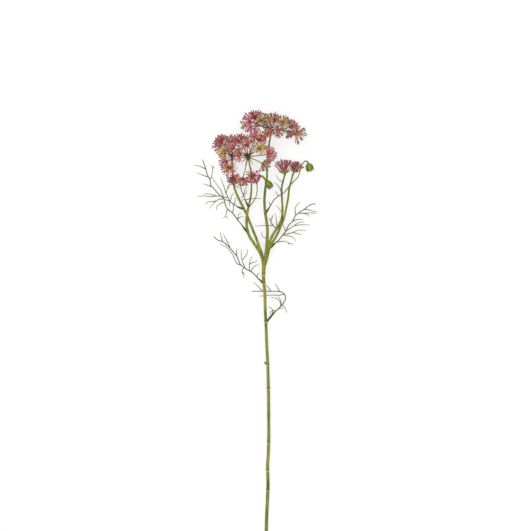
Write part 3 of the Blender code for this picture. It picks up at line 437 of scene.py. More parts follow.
leaves["leaf_right"] = {
    "heights": (21.5, -0.2, -0.08), "sheath": 8, "routes": [
        [(8.6, 446), (12.6, 450.4), (16.2, 453.4), (21.3, 458), (25.4, 463.5), (31, 470.6), (36, 480.3),
         (41.4, 485.6), (46.8, 495.6), (50.5, 498.3), (59, 504), (69.5, 511.5), (77, 513)],
        [(46.4, 495), (45.4, 504), (47, 509), (52.5, 515.4)],
        [(59, 504), (65, 503.6), (72, 501.4), (79.5, 500)],
        [(50.4, 498.2), (57, 498), (63.5, 496.4), (68, 493)], [(57, 498), (68, 498.6), (77.5, 498)],
        [(41.2, 485.4), (46.5, 488), (52.4, 489), (58.5, 488.6)],
        [(31, 470.6), (37.5, 474.8), (43.7, 479.3), (50, 483.4), (60, 485.4)],
        [(43.6, 479.2), (52.5, 480.4), (68, 480.6)],
        [(28.2, 466.4), (36, 467.2), (42.5, 469.5), (48, 472), (62.5, 471.8)],
        [(42, 469.2), (48, 467.3), (55.8, 465.6)],
        [(26.6, 465), (34.5, 463.8), (40.8, 462.4), (44.5, 459.4), (46, 454.8)],
        [(17, 454), (24, 455.3), (31.5, 455.3), (35, 452.8), (35.4, 449.8)],
        [(34.6, 453.4), (38.6, 452.2), (43, 450.8)], [(31, 470.4), (28.9, 475.5), (27.4, 481)],
    ],
}
leaves["leaf_centre"] = {
    "heights": (26, -0.02, -0.03), "sheath": 12, "routes": [
        [(-0.2, 495.5), (3.6, 501.5), (8, 508.6), (13.5, 517.4), (20.4, 523.4), (25.4, 526), (31, 531),
         (36, 538.5)],
        [(24.4, 525.6), (23.2, 533), (18.6, 539.6), (13.2, 545)], [(20.2, 523.3), (17.4, 527), (15.6, 531)],
        [(7.6, 508), (7.4, 512), (5, 515.4)],
    ],
}
leaves["leaf_mid_left"] = {
    "heights": (30, -0.35, 0.12), "sheath": 10, "routes": [
        [(-24.6, 507), (-26.8, 511), (-29.2, 516.8), (-31.8, 523.5), (-35.3, 532), (-36, 538)],
        [(-29, 516.6), (-24, 518.2, 36), (-16, 518.8, 38), (-4.5, 519, 38.5)],
        [(-29.4, 517.2), (-35.5, 516.6)], [(-32.2, 524.5), (-30.3, 529), (-29.8, 533), (-26.6, 536.5)],
        [(-31.9, 523.8), (-28.2, 526.6), (-27.8, 531.6)], [(-31.6, 523), (-36, 519.5)],
    ],
}
leaves["leaf_inner_left"] = {
    "heights": (21.6, -0.06, 0), "sheath": 8, "routes": [
        [(-32.4, 504), (-36.8, 505.4), (-42.8, 508), (-47.4, 511.4), (-53, 516), (-55.4, 521.5),
         (-58.5, 527)],
        [(-58.3, 526.6), (-57.2, 532), (-53.2, 543)], [(-58.3, 526.4), (-60.4, 534), (-66.6, 551)],
        [(-52.8, 515.8), (-51.2, 518), (-50.6, 522.5), (-46.6, 528.5)],
        [(-45.6, 509.6), (-44.8, 516.5), (-43.6, 522)], [(-53, 516.2), (-53, 507.4)],
        [(-53.2, 516), (-57, 517.2), (-61.5, 518), (-66.5, 521.5)],
        [(-55.8, 521.8), (-60.6, 521), (-63.6, 524.6), (-64.4, 529)],
        [(-47.2, 511.2), (-47.4, 505.6), (-47, 500.4)],
    ],
}
leaves["leaf_inner_right"] = {
    "heights": (20.8, 0.12, 0), "sheath": 4, "routes": [
        [(18.6, 473.2), (15.6, 476), (12, 479.6), (9.6, 483), (8.6, 486), (10.4, 490), (11.2, 495)],
        [(12, 479.5), (7, 479.3, 18.6), (0, 479.3, 18.2), (-15.4, 478.2, 17.8)],
        [(8.7, 485.6), (6.4, 489.6), (4.9, 491.4)], [(18, 474), (17.6, 482), (16.6, 490.5), (14.6, 498.5)],
    ],
}


# Finishes. A scale is grains to the metre, and a bump is its strength and its depth in metres.


def stemFinish():
    look = {
        "sun": (0.236, 0.252, 0.026), "green": (0.146, 0.165, 0.013), "shade": (0.042, 0.052, 0.004),
        "knot": (0.062, 0.066, 0.007), "scar": (0.46, 0.48, 0.17), "ray": (0.222, 0.183, 0.049),
        "hub": (0.07, 0.033, 0.006), "maroon": (0.062, 0.013, 0.011), "gloss": 0.15, "rough": 0.42,
        "ridgeScale": (560, 24, 560), "blotchScale": 38, "speckScale": 520, "bump": (0.4, 0.0004),
    }
    material, shader, place = startMaterial("stemFinish", look["gloss"], {})
    stretched = place.node("Mapping", {}, {"Vector": place, "Scale": look["ridgeScale"]})
    ridges = grain(stretched, 1.0, 2.0)  # they run along the stem
    blotches = grain(place, look["blotchScale"], 4.0)
    specks = grain(place, look["speckScale"], 2.0)
    colour = paint(look["green"], look, (
        ("sun", blotches.between(0.36, 0.66)),
        ("shade", ridges.between(0.47, 0.64) * 0.8),
        ("sun", specks.between(0.6, 0.75) * 0.3),
        ("ray", readValue(place, "head") * 0.8),
        ("maroon", readValue(place, "flush").between(0.2, 0.9) * 0.85),
        ("hub", readValue(place, "hub").between(0.25, 0.85) * 0.9),
        ("knot", readValue(place, "knot")),
        ("scar", readValue(place, "scar") * specks.between(0.38, 0.56)),
    ))
    dress(place, shader, colour, look["rough"] + specks * 0.2, ridges * 0.8 + specks * 0.2, look["bump"])
    return material


def leafFinish():
    look = {
        "green": (0.098, 0.112, 0.01), "grey": (0.132, 0.148, 0.028), "dark": (0.046, 0.056, 0.005),
        "pale": (0.3, 0.335, 0.075), "sheath": (0.048, 0.058, 0.01), "gloss": 0.12, "rough": 0.5,
        "blotchScale": 90, "fineScale": 700, "bump": (0.25, 0.0003),
    }
    material, shader, place = startMaterial("leafFinish", look["gloss"], {})
    fine = grain(place, look["fineScale"], 2.0)
    colour = paint(look["dark"], look, (
        ("green", grain(place, look["blotchScale"], 3.0).between(0.38, 0.64)),
        ("grey", fine.between(0.45, 0.7) * 0.6),
        ("pale", readValue(place, "tip").between(0.15, 1.0) * 0.85),
        ("sheath", readValue(place, "sheath")),
    ))
    dress(place, shader, colour, look["rough"] + fine * 0.2, fine, look["bump"])
    return material


def budFinish():
    look = {
        "light": (0.266, 0.29, 0.024), "green": (0.118, 0.138, 0.008), "darkEdgeAndShade": (0.02, 0.024, 0.002),
        "gloss": 0.35, "rough": 0.45, "blotchScale": 300, "fineScale": 900, "bump": (0.35, 0.0003),
    }
    material, shader, place = startMaterial("budFinish", look["gloss"], {})
    fine = grain(place, look["fineScale"], 2.0)
    colour = paint(look["green"], look, (
        ("light", grain(place, look["blotchScale"], 3.0).between(0.4, 0.62)),
        ("green", fine.between(0.55, 0.7) * 0.4),
        # painted shade in the bud body's folds, and the bracts' own darker edges
        ("darkEdgeAndShade", readValue(place, "foldShadeAndEdge")),
        ("darkEdgeAndShade", readValue(place, "along").between(0.8, 1.0) * 0.8),
        ("darkEdgeAndShade", readValue(place, "tone") * 0.5),
    ))
    dress(place, shader, colour, look["rough"] + fine * 0.2, fine, look["bump"])
    return material


# Each floret's colours from its root to its tip, then those laid over them. The darker root is partly its own
# olive colour and partly painted shade for the crowded middle of a burst.
floretLooks = {
    "pink": {
        "along": ((0.182, 0.06, 0.016), (0.344, 0.075, 0.045), (0.71, 0.172, 0.165), (0.86, 0.237, 0.29)),
        "second": (0.96, 0.665, 0.645), "deep": (0.258, 0.018, 0.026), "tip": (0.075, 0.037, 0.049),
        "shadedRoot": (0.16, 0.046, 0.014), "bract": (0.205, 0.17, 0.016), "young": (0.386, 0.248, 0.049),
        "youngShare": 0.45, "tipFrom": 0.76,
    },
    "salmon": {
        "along": ((0.204, 0.097, 0.018), (0.408, 0.135, 0.055), (0.73, 0.225, 0.16), (0.84, 0.252, 0.265)),
        "second": (0.94, 0.688, 0.537), "deep": (0.258, 0.044, 0.026), "tip": (0.069, 0.038, 0.037),
        "shadedRoot": (0.16, 0.064, 0.011), "bract": (0.14, 0.129, 0.012), "young": (0.386, 0.238, 0.045),
        "youngShare": 0.55, "tipFrom": 0.74,
    },
    "crimson": {
        "along": ((0.171, 0.058, 0.015), (0.301, 0.058, 0.033), (0.56, 0.086, 0.091), (0.64, 0.107, 0.151)),
        "second": (0.94, 0.452, 0.43), "deep": (0.171, 0.012, 0.019), "tip": (0.064, 0.03, 0.041),
        "shadedRoot": (0.14, 0.04, 0.01), "bract": (0.118, 0.097, 0.012), "young": (0.344, 0.161, 0.041),
        "youngShare": 0.3, "tipFrom": 0.76,
    },
    "tan": {
        "along": ((0.215, 0.151, 0.011), (0.386, 0.237, 0.033), (0.58, 0.31, 0.125), (0.65, 0.34, 0.21)),
        "second": (0.94, 0.688, 0.473), "deep": (0.215, 0.08, 0.018), "tip": (0.069, 0.044, 0.038),
        "shadedRoot": (0.182, 0.135, 0.008), "bract": (0.16, 0.151, 0.012), "young": (0.5, 0.42, 0.035),
        "youngShare": 0.9, "tipFrom": 0.7, "places": (0, 0.3, 0.55, 0.85),
    },
}

# What the four have in common. The shifts are how far tone and grain move the colours along a floret.
sharedLook = {
    "places": (0, 0.24, 0.45, 0.8), "rich": (0.215, 0.02, 0.015), "tipShare": 0.95, "tipBlend": 0.12,
    "toneShift": 0.2, "grainShift": 0.14, "fineScale": 650, "streakScale": 240,
    "gloss": 0.3, "sheen": 0.1, "rough": 0.5, "bump": (0.25, 0.0003),
}


def floretFinish(name, look):
    material, shader, place = startMaterial(name, look["gloss"], {"Sheen Weight": look["sheen"]})
    along = readValue(place, "along")
    tone = readValue(place, "tone")
    fine = grain(place, look["fineScale"], 3.0)
    streaks = grain(place, look["streakScale"], 2.0)
    shifted = along + (tone - 0.5) * look["toneShift"]
    spread = shifted + (fine - 0.5) * look["grainShift"]
    tipped = shifted.between(look["tipFrom"], look["tipFrom"] + look["tipBlend"])
    stops = list(zip(look["places"], look["along"]))
    colour = paint(place.node("ValToRGB", {"stops": stops}, {"Fac": spread}), look, (
        # a painted highlight: paler pink on the upper part of some florets
        ("second", tone.between(0.5, 0.95) * along.between(0.4, 0.7) * 0.65),
        ("deep", streaks.between(0.52, 0.62) * 0.75),
        ("rich", readValue(place, "rich") * along.between(0.15, 0.4) * 0.85),
        ("young", readValue(place, "young") * look["youngShare"]),
        ("tip", tipped * readValue(place, "ripe") * look["tipShare"]),
        # the root end darkens: its own olive colour, with painted shade deep in the burst
        ("shadedRoot", along.between(0.34, 0.04)),
        ("bract", readValue(place, "green")),
    ))
    dress(place, shader, colour, look["rough"] + fine * 0.2, fine, look["bump"])
    return material


finishes = {"floret_" + name: floretFinish("floret-" + name, {**sharedLook, **look})
            for name, look in floretLooks.items()}
finishes["stem_green"] = stemFinish()
finishes["leaf_green"] = leafFinish()
finishes["bud_green"] = budFinish()
print("finishes ready:", len(finishes))


# The stem with its branches, rays, hubs and curled tendrils. "sideBud" is x, y and radius, a fade is its
# start and length, and "rings" is the shift, width and strength of each knot's dark ring and pale scar.
stem = {
    "spacing": 2.5, "mainSpacing": 1, "raySpacing": 3, "bractSpacing": 2, "sideSpacing": 0.6,
    "mainRoundness": 5, "branchRoundness": 4, "rayRoundness": 2, "knotWidth": 1.7, "mainReach": 9,
    "rayRadius": 0.74, "raySwell": (1.25, 1, 1.1), "rayBow": 0.08, "seatGap": 0.05,
    "forkSwell": (1.12, 1.08, 1.03), "tendrilEnd": 0.4, "bractRadii": (0.85, 0.78, 0.3), "bractRise": 1.2,
    "hubRadius": 1.8, "headFade": (1.3, 34), "hubFade": (1.4, 7.5), "flushRise": 3, "flushFade": (1.5, 20),
    "sideBud": ((3.2, 271.4, 1.6), (0.5, 272.8, 1.7), (-0.9, 274.4, 0.9)),
    "rings": {"knot": (1.2, 1.4, 0.75), "scar": (-1.2, 1, 0.85)},
}


def isCup(burst):
    return len(burst) > 4


def coreSizes(burst):
    return np.array(burst[4] if isCup(burst) else roundCore, dtype=float)


def rayRoute(hub, burst):
    core = np.array(burst[0], dtype=float)
    back = unitVector(unitVector(np.array(hub) - core) - unitVector(burst[1]))
    end = core + back * (1 / np.linalg.norm(back / coreSizes(burst)) + stem["seatGap"])
    bend = 0.5 * (np.array(hub) + end) + stem["rayBow"] * np.linalg.norm(end - hub) * back
    points = [(*spot, stem["rayRadius"] * swell) for spot, swell in zip((hub, bend, end), stem["raySwell"])]
    return smoothRoute(points, stem["raySpacing"])


def hubBractRoute(hub, end):  # a pointed bract that bows up from its hub
    bend = 0.5 * (np.array(hub) + np.array(end)) + (0, 0, stem["bractRise"])
    points = [(*spot, radius) for spot, radius in zip((hub, bend, end), stem["bractRadii"])]
    return smoothRoute(points, stem["bractSpacing"])


def mainStemRoute():
    route = smoothRoute(mainStem, stem["mainSpacing"])
    for distance, height in knots:
        route[:, 3] += height * np.exp(-(((route[:, 1] - distance) / stem["knotWidth"]) ** 2))
    return route


def makeHub(spot):
    size = stem["hubRadius"] * table["unit"]
    deselectAll()
    bpy.ops.mesh.primitive_ico_sphere_add(subdivisions=3, radius=size, location=toFrame(spot))
    bpy.ops.object.transform_apply(location=True, rotation=True, scale=True)
    return bpy.context.active_object


def makeStem():
    main = mainStemRoute()
    level = main[np.abs(main[:, 1] - stem["sideBud"][0][1]).argmin()][2]
    sideBud = smoothRoute([(x, y, level, radius) for x, y, radius in stem["sideBud"]], stem["sideSpacing"])
    tubes = [layTube(main, stem["mainRoundness"]), layTube(sideBud, stem["branchRoundness"])]
    for points in branches:
        route = smoothRoute(points, stem["spacing"])
        route[:3, 3] *= stem["forkSwell"]
        tubes.append(layTube(route, stem["branchRoundness"]))
    for points in tendrils:
        route = smoothRoute(points, stem["spacing"])
        route[-1, 3] *= stem["tendrilEnd"]
        tubes.append(layTube(route, stem["rayRoundness"]))
    rays = []
    for umbelName, umbel in umbels.items():
        for end in hubBracts.get(umbelName, []):
            tubes.append(layTube(hubBractRoute(umbel["hub"], end), stem["rayRoundness"]))
        for burst in umbel["bursts"]:
            rays.append(rayRoute(umbel["hub"], burst))
            tubes.append(layTube(rays[-1], stem["rayRoundness"]))
    tubes += [makeHub(umbel["hub"]) for umbel in umbels.values()]
    whole = joinAs("stem_and_branches", tubes)
    places = cornerPlaces(whole) / table["unit"]
    hubs = [millimetres(umbels[name]["hub"]) for name in ("top", "mid", "left")]
    nearest = np.min([np.linalg.norm(places - hub, axis=1) for hub in hubs], axis=0)
    pointValues(whole, "head", faded(nearest, *stem["headFade"]))
    pointValues(whole, "hub", faded(nearest, *stem["hubFade"]))
    above = np.clip((places[:, 1] - hubs[0][1]) / stem["flushRise"], 0, 1)
    pointValues(whole, "flush", above * faded(np.linalg.norm(places - hubs[0], axis=1), *stem["flushFade"]))
    along = places[:, 1] - table["shiftY"]
    onMain = np.abs(places[:, 0] - table["shiftX"]) < stem["mainReach"]
    for layer, (shift, width, strength) in stem["rings"].items():
        bands = [np.exp(-(((along - distance - shift) / width) ** 2)) for distance, height in knots]
        pointValues(whole, layer, np.max(bands, axis=0) * onMain * strength)
    finishPiece(whole, ["stem"], "stem_green")
    return rays


rays = makeStem()
print("stem made with", len(rays), "rays")


# Feathery leaves: a rib with a dark sheath, and thread-like strands. The last four values are radii.
leaf = {
    "spacing": 2, "roundness": 1, "ribRoundness": 2, "end": 0.45, "sheathFade": 1.5,
    "sheathRadius": 1.55, "ribSwell": 0.22, "root": 0.66, "tip": 0.5,
}


def leafRoutes(data):
    height, slopeX, slopeY = data["heights"]
    stalk, *strands = data["routes"]
    rootX, rootY = stalk[0]

    def placed(point, radius):  # at its own height if it has one, and otherwise on the leaf's slope
        level = height + slopeX * (point[0] - rootX) + slopeY * (point[1] - rootY)
        return (point[0], point[1], point[2] if len(point) > 2 else level, radius)

    travelled = np.cumsum([0.0] + [math.dist(*pair) for pair in zip(stalk, stalk[1:])])
    rib = []
    for number, point in enumerate(stalk):
        radius = leaf["root"] + leaf["ribSwell"] * (1 - number / (len(stalk) - 1))
        rib.append(placed(point, leaf["sheathRadius"] if travelled[number] < data["sheath"] else radius))
    routes = [smoothRoute(rib, leaf["spacing"])]
    for strand in strands:
        points = [placed(point, leaf["root"] + (leaf["tip"] - leaf["root"]) * number / (len(strand) - 1))
                  for number, point in enumerate(strand)]
        routes.append(smoothRoute(points, leaf["spacing"]))
    for route in routes:
        route[-1, 3] *= leaf["end"]
    return routes


def makeLeaf(name, data):
    routes = leafRoutes(data)
    tubes = [layTube(routes[0], leaf["ribRoundness"])]
    tubes += [layTube(route, leaf["roundness"]) for route in routes[1:]]
    whole = joinAs(name + "_fronds", tubes)
    places = cornerPlaces(whole)
    root = np.array(toFrame((*data["routes"][0][0], data["heights"][0])))
    distance = np.linalg.norm(places - root, axis=1) / table["unit"]
    pointValues(whole, "sheath", faded(distance, leaf["sheathFade"], data["sheath"]))
    shares = [(toFrame(point), i / (len(route) - 1)) for route in routes[1:] for i, point in enumerate(route)]
    shares += [(toFrame(point), 0.0) for point in routes[0]]
    nearby = searchTree([point for point, share in shares])
    pointValues(whole, "tip", [shares[nearby.find(place)[1]][1] for place in places])
    finishPiece(whole, [name], "leaf_green")


for name, data in leaves.items():
    makeLeaf(name, data)
print("leaves made:", len(leaves))


# Nodding buds with folded sides, and pointed bracts of which every second one is smaller and darker
bud = {
    "size": 1.02, "rings": 14, "folds": 7, "foldDepth": 0.86, "foldTwist": 2.2, "foldShade": 0.75,
    "bracts": 10, "width": 0.42, "depth": 0.12, "turn": 0.3, "sizes": (1, 0.82), "tones": (0.1, 0.6),
}


def makeBudModel():  # a closed bud of unit size, its folds drawn in between raised ribs
    deselectAll()
    sides, rings = bud["folds"] * 4, bud["rings"]
    bpy.ops.mesh.primitive_uv_sphere_add(segments=sides, ring_count=rings, radius=1, location=(0, 0, 0))
    body = bpy.context.active_object
    deep = []
    for vertex in body.data.vertices:
        turn = math.atan2(vertex.co.y, vertex.co.x) * bud["folds"]
        share = 0.5 + 0.5 * math.cos(turn + bud["foldTwist"] * vertex.co.z)
        flat = 1 - (1 - bud["foldDepth"]) * share**3 * (1 - vertex.co.z**2)
        vertex.co.x *= flat
        vertex.co.y *= flat
        # the folds are darkened as painted shade, most where they are pressed in deepest
        deep.append(share**4 * bud["foldShade"])
    pointValues(body, "foldShadeAndEdge", deep)
    pointValues(body, "along", 0.5)
    bpy.ops.object.shade_smooth()
    return body


def makeBudBract():  # a pointed bract that hugs the bud, then stands off past its tip
    wide, deep = bud["width"], bud["depth"]
    pointed = growShape("bud_bract", 8, [
        (0.25, -1.0, deep * 0.5, wide * 0.3), (0.62, -0.75, deep * 0.8, wide * 0.7),
        (0.9, -0.42, deep, wide), (1.03, 0.0, deep, wide), (1.05, 0.35, deep * 0.9, wide * 0.8),
        (1.0, 0.7, deep * 0.8, wide * 0.5), (0.96, 0.95, deep * 0.7, wide * 0.25), (0.95, 1.14, 0.05, 0.05),
    ])
    places = cornerPlaces(pointed)
    pointValues(pointed, "along", (places[:, 2] + 1) / 2.14)
    pointValues(pointed, "foldShadeAndEdge", np.clip(np.abs(places[:, 1]) * 2.4 - 0.35, 0, 1) * 0.8)  # darker edges
    return pointed


def makeBud(name, data, bodyModel, bractModel):
    centre, halfWidth, halfLength, tip = data
    axis = unitVector(tip)
    side = unitVector(np.cross(axis, (0.0, 0.0, 1.0)))
    turn = Matrix((side, np.cross(side, axis), axis)).transposed().to_4x4()
    size = Matrix.Diagonal((halfWidth, halfWidth, halfLength, 1)) * table["unit"]
    size[3][3] = 1
    place = Matrix.Translation(toFrame(centre)) @ turn @ size
    parts = [layCopy(bodyModel, place @ Matrix.Scale(bud["size"], 4), 0.2)]
    for number in range(bud["bracts"]):
        spin = Matrix.Rotation(bud["turn"] + math.tau * number / bud["bracts"], 4, "Z")
        small = bud["sizes"][number % 2]
        thin = Matrix.Diagonal((small, small, small, 1))
        parts.append(layCopy(bractModel, place @ spin @ thin, bud["tones"][number % 2]))
    finishPiece(joinAs(name + "_green", parts), [name], "bud_green")


budModels = [makeBudModel(), makeBudBract()]
for name, data in buds.items():
    makeBud(name, data, *budModels)
for model in budModels:
    bpy.data.objects.remove(model, do_unlink=True)
print("buds made:", len(buds))


# Flower bursts: slender curved florets with swollen tips on a small dome. "cap" is the edges of a rod's end
# in the solid, "shades" the shares of young florets and dark tips, and "sparse" thickness and further ones.
floret = {
    "sides": 6, "bow": 1.8, "bows": (0, 0.6, 1, -0.8), "stalkBow": 0.3, "stalkLength": 0.84, "rootIn": 0.6,
    "thick": 0.94, "extraThick": 0.72, "thickness": (0.85, 1.1), "domeSize": 0.96, "pimple": 0.07,
    "extras": 0.2, "fewest": 30, "between": (0.3, 0.7), "astray": 0.06, "extraLength": (0.62, 0.98),
    "cap": (1.05, 1.4), "capReach": 1.35, "taken": (0.35, 0.7, 1), "tested": (0.45, 0.7, 0.95),
    "clear": 1.25, "lowest": 0.08, "extraLowest": 0.75, "levelBand": 2.6,
    "ripe": (-0.5, 0.4), "ripeRoot": 0.3, "ripeLevel": 0.9, "rich": (0.6, 1.2), "cupRich": 0.9,
    "cupTips": 0.55, "young": (-0.3, 0.3), "youngFrom": 0.62, "youngOver": 0.25, "paleGold": 0.4,
    "shades": {"left_burst_2": (1.2, 0.35), "mid_burst_2": (1, 0.5), "top_burst_6": (0, 1.3)},
    "sparse": {"top_burst_6": (0.74, 16), "left_burst_5": (0.85, 0), "left_burst_7": (0.8, 0)},
}


# The bracts behind a burst. "count" and "length" are a round burst's and a cup's.
bract = {
    "count": (6, 11), "length": (5, 7.6), "spread": (0.8, 1.15), "turn": 0.2, "out": 0.75, "back": 0.6,
    "rise": 1.1, "lowest": 0.0015, "reach": 13,
}


def makeFloretModels():  # unit length, half width about one; straight, bowed and forked
    profile = [
        (0.0, 0.55), (0.16, 0.38), (0.34, 0.42), (0.48, 0.6), (0.64, 0.86), (0.8, 0.84), (0.9, 1.02),
        (0.965, 0.85), (1.0, 0.35),
    ]
    models = []
    for bow in floret["bows"]:
        rings = [(bow * floret["bow"] * 4 * z * (1 - z), z, wide, wide) for z, wide in profile]
        models.append(growShape("floret", floret["sides"], rings))
    lobes = []
    for lean in (-1, 1):
        rings = [(0.0, 0.76, 0.6, 0.6), (0.5 * lean, 0.86, 0.66, 0.66), (1.25 * lean, 0.95, 0.6, 0.6),
                 (1.6 * lean, 1.0, 0.25, 0.25)]
        lobes.append(growShape("lobe", floret["sides"], rings))
    rings = [(floret["stalkBow"] * 4 * z * (1 - z), z * floret["stalkLength"], wide, wide)
             for z, wide in profile[:-2]]
    models.append(joinAs("floret_forked", [growShape("stalk", floret["sides"], rings)] + lobes))
    for model in models:
        pointValues(model, "along", np.clip(cornerPlaces(model)[:, 2], 0, 1))
    return models


def makeBractModel():  # a small pointed bract that cups the back of a burst
    rings = [(0.0, 0.0, 0.05, 0.12), (0.12, 0.3, 0.06, 0.2), (0.1, 0.6, 0.05, 0.15), (-0.06, 1.0, 0.02, 0.03)]
    green = growShape("green", 6, rings)
    heights = cornerPlaces(green)[:, 2]
    pointValues(green, "along", heights)
    pointValues(green, "green", np.clip(1.5 - heights, 0, 1))
    return green


def makeDomeModel():  # the dome that the florets stand on, with a pimpled face
    deselectAll()
    bpy.ops.mesh.primitive_ico_sphere_add(subdivisions=3, radius=floret["domeSize"], location=(0, 0, 0))
    dome = bpy.context.active_object
    draw = random.Random("dome")
    for vertex in dome.data.vertices:
        vertex.co *= 1 + draw.choice((0.0, 0.0, floret["pimple"]))
    # low on a floret, so the dome takes the dark root colour with its painted shade
    pointValues(dome, "along", 0.06)
    bpy.ops.object.shade_smooth()
    return dome


def readRods(nodeName, burst):  # each rod of a solid, from the middle of its root to that of its tip
    core = millimetres(burst[0])
    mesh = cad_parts[nodeName].data
    triangles = []
    touching = {}
    for polygon in mesh.polygons:
        corners = [np.array(mesh.vertices[i].co) / table["unit"] for i in polygon.vertices]
        keys = [tuple(np.round(corner, 2)) for corner in corners]
        for key in keys:
            touching.setdefault(key, []).append(len(triangles))
        triangles.append((corners, keys))
    rods = []
    for corners, keys in triangles:
        edges = [np.linalg.norm(corners[i] - corners[i - 1]) for i in range(3)]
        middle = sum(corners) / 3
        reach = np.linalg.norm((middle - core) / coreSizes(burst))
        if min(edges) < floret["cap"][0] or max(edges) > floret["cap"][1] or reach < floret["capReach"]:
            continue
        around = {}
        for key in keys:
            for other in touching[key]:
                around.update(zip(triangles[other][1], triangles[other][0]))
        for key in keys:
            around.pop(key, None)
        if len(around) >= 3:
            rods.append((sum(around.values()) / len(around), middle))
    return rods


def extraRods(rods, draw, more):  # more florets between the solid's rods, a little shorter
    directions = [unitVector(tip - root) for root, tip in rods]
    extras = []
    for _ in range(more + max(round(len(rods) * floret["extras"]), floret["fewest"] - len(rods))):
        first = draw.randrange(len(rods))
        near = sorted(range(len(rods)), key=lambda i: -directions[first] @ directions[i])[1:5]
        second = draw.choice(near)
        share = draw.uniform(*floret["between"])
        astray = np.array([draw.gauss(0, floret["astray"]) for _ in range(3)])
        direction = unitVector(directions[first] * (1 - share) + directions[second] * share + astray)
        root = rods[first][0] * (1 - share) + rods[second][0] * share
        length = min(np.linalg.norm(rods[i][1] - rods[i][0]) for i in (first, second))
        extras.append((root, root + direction * (length * draw.uniform(*floret["extraLength"]))))
    return extras


bursts = {umbelName + "_burst_" + str(number): burst for umbelName, umbel in umbels.items()
          for number, burst in enumerate(umbel["bursts"], start=1)}
burstRods = {name: readRods(name, burst) for name, burst in bursts.items()}
print("florets read from the solids:", sum(len(rods) for rods in burstRods.values()))

taken = [(tip * share + root * (1 - share), name)
         for share in floret["taken"] for name, rods in burstRods.items() for root, tip in rods]
taken += [(millimetres(point), "ray") for ray in rays for point in ray]
owners = [name for point, name in taken]
nearby = searchTree([point for point, name in taken])


def isClear(name, root, tip):  # whether a floret stays clear of the other bursts' rods and of the rays
    for share in floret["tested"]:
        point = Vector(root * (1 - share) + tip * share)
        if any(owners[number] != name for place, number, gap in nearby.find_range(point, floret["clear"])):
            return False
    return True


def greenPlaces(burst, draw):  # bracts round the back of a burst, from its ray outwards
    sizes = Vector(coreSizes(burst) * table["unit"])
    axis = Vector(unitVector(burst[1]))
    across = axis.orthogonal().normalized()
    places = []
    count = bract["count"][isCup(burst)]
    full = bract["length"][isCup(burst)] * table["unit"]
    turns = bract["turn"]
    for number in range(count):
        out = Matrix.Rotation(math.tau * (number + draw.uniform(-turns, turns)) / count, 3, axis) @ across
        start = toFrame(burst[0]) + sizes * (out * bract["out"] - axis * bract["back"])
        direction = (axis * bract["rise"] + out).normalized()
        length = full * draw.uniform(*bract["spread"]) * (burst[2] / bract["reach"]) ** 0.6
        if min(start.z, start.z + direction.z * length) < bract["lowest"]:
            continue
        side = direction.cross(out).normalized()
        turn = Matrix((side.cross(direction), side, direction)).transposed().to_4x4()
        places.append(Matrix.Translation(start) @ turn @ Matrix.Scale(length, 4))
    return places


def makeBurst(name, burst, models, dome, green):
    draw = random.Random(name)
    core, facing, colour = burst[0], burst[1], burst[3]
    cup = isCup(burst)
    sizes = coreSizes(burst)
    sizes[2] *= min(1.0, core[2] / sizes[2])
    seat = Matrix.Translation(Vector(millimetres(core)) * table["unit"])
    usual = (floret["paleGold"] if colour == "tan" else 1.0, floret["cupTips"] if cup else 1.0)
    gold, tips = floret["shades"].get(name, usual)
    slender, more = floret["sparse"].get(name, (1.0, 0))
    parts = [layCopy(dome, seat @ Matrix.Diagonal((*(sizes * table["unit"]), 1)), draw.random())]
    parts += [layCopy(green, place, draw.random()) for place in greenPlaces(burst, draw)]
    strands = [(root, tip, floret["thick"] * slender) for root, tip in burstRods[name]]
    for root, tip in extraRods(burstRods[name], draw, more):
        if isClear(name, root, tip) and min(root[2], tip[2]) > floret["extraLowest"]:
            strands.append((root, tip, floret["extraThick"] * slender))
    for root, tip, thick in strands:
        direction = unitVector(tip - root)
        thick *= draw.uniform(*floret["thickness"])
        lowest = min(root[2] + 0.3, tip[2]) - floret["lowest"]
        level = math.sqrt(max(0.0, 1 - direction[2] ** 2))
        model = draw.choice(models)
        if lowest < floret["levelBand"] * thick:  # near the floor, straight and thin enough to clear it
            model = models[0]
            thick = min(thick, lowest / max(level, 0.2))
        start = root - direction * floret["rootIn"]
        place = Matrix.Translation(Vector(start) * table["unit"])  # the model then stands on its own start
        turn = Vector(direction).to_track_quat("Z", "Y").to_matrix().to_4x4()
        spin = Matrix.Rotation(draw.uniform(0, math.tau), 4, "Z")
        wide, long = thick * table["unit"], np.linalg.norm(tip - start) * table["unit"]
        strand = layCopy(model, place @ turn @ spin @ Matrix.Diagonal((wide, wide, long, 1)), draw.random())
        ripe = floret["ripeRoot"] + floret["ripeLevel"] * level**2 + draw.uniform(*floret["ripe"])
        rich = draw.uniform(*floret["rich"])
        young = 0.0
        if not cup:
            inwards = (direction @ unitVector(facing) - floret["youngFrom"]) / floret["youngOver"]
            young = np.clip(inwards + draw.uniform(*floret["young"]), 0, 1)
        pointValues(strand, "ripe", tips * np.clip(ripe, 0, 1))
        pointValues(strand, "rich", floret["cupRich"] * rich if cup else 0.0)
        pointValues(strand, "young", gold * young)
        parts.append(strand)
    finishPiece(joinAs(name.replace("burst", "florets"), parts), [name], "floret_" + colour)
    return len(strands)


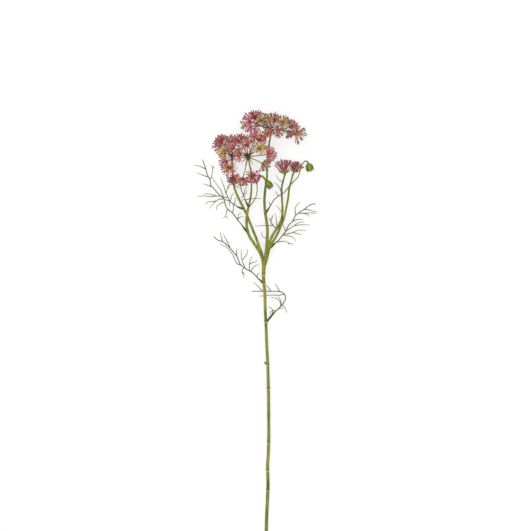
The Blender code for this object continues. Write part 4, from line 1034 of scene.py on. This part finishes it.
floretModels = makeFloretModels()
domeModel = makeDomeModel()
greenModel = makeBractModel()
count = sum(makeBurst(name, burst, floretModels, domeModel, greenModel) for name, burst in bursts.items())
for model in floretModels + [domeModel, greenModel]:
    bpy.data.objects.remove(model, do_unlink=True)
print("florets made:", count)


# Floor, light and camera. Each light has its place, power and width.
studio = {
    "floor": (0.27, 0.27, 0.267), "mottle": 1.03, "rough": 0.9, "gloss": 0.1, "glow": 0.65, "size": 14,
    "drop": 0.0002, "sky": 0.45,
    "lights": {"top_light": ((0, 0.05, 2.5), 66, 2.4), "key_light": ((-1.3, 1, 1.7), 11, 1.6)},
    "camera": (0.015, 0.0928, 1.901), "lens": 85,
}


def floorFinish():
    fixed = {"Roughness": studio["rough"], "Emission Strength": studio["glow"]}
    material, shader, place = startMaterial("floorFinish", studio["gloss"], fixed)
    paler = tuple(value * studio["mottle"] for value in studio["floor"])
    place.plug(shader.inputs["Base Color"], grain(place, 3.0, 3.0).blend(studio["floor"], paler))
    return material


def makeStudio():
    deselectAll()
    low = (0, 0, -studio["drop"])
    bpy.ops.mesh.primitive_grid_add(x_subdivisions=8, y_subdivisions=8, size=studio["size"], location=low)
    floor = bpy.context.active_object
    floor.name = "studio_floor"
    bpy.ops.object.transform_apply(location=True)
    floor.data.materials.append(floorFinish())
    for name, (spot, power, width) in studio["lights"].items():
        light = bpy.data.lights.new(name, "AREA")
        light.shape = "DISK"
        light.size = width
        light.energy = power
        lamp = putInScene(name, light)
        lamp.location = spot
        lamp.rotation_mode = "QUATERNION"
        lamp.rotation_quaternion = (-Vector(spot)).to_track_quat("-Z", "Y")
    world = bpy.data.worlds.new("studio_light")
    world.use_nodes = True
    sky = world.node_tree.nodes["Background"]
    sky.inputs["Color"].default_value = (1, 1, 1, 1)
    sky.inputs["Strength"].default_value = studio["sky"]
    bpy.context.scene.world = world
    view = bpy.data.cameras.new("photo_camera")
    view.lens = studio["lens"]
    view.sensor_width = 36.0
    view.clip_end = 30.0
    camera = putInScene("photo_camera", view)
    camera.location = studio["camera"]
    bpy.context.scene.camera = camera
    bpy.context.scene.view_settings.view_transform = "Standard"


makeStudio()
print("studio ready")
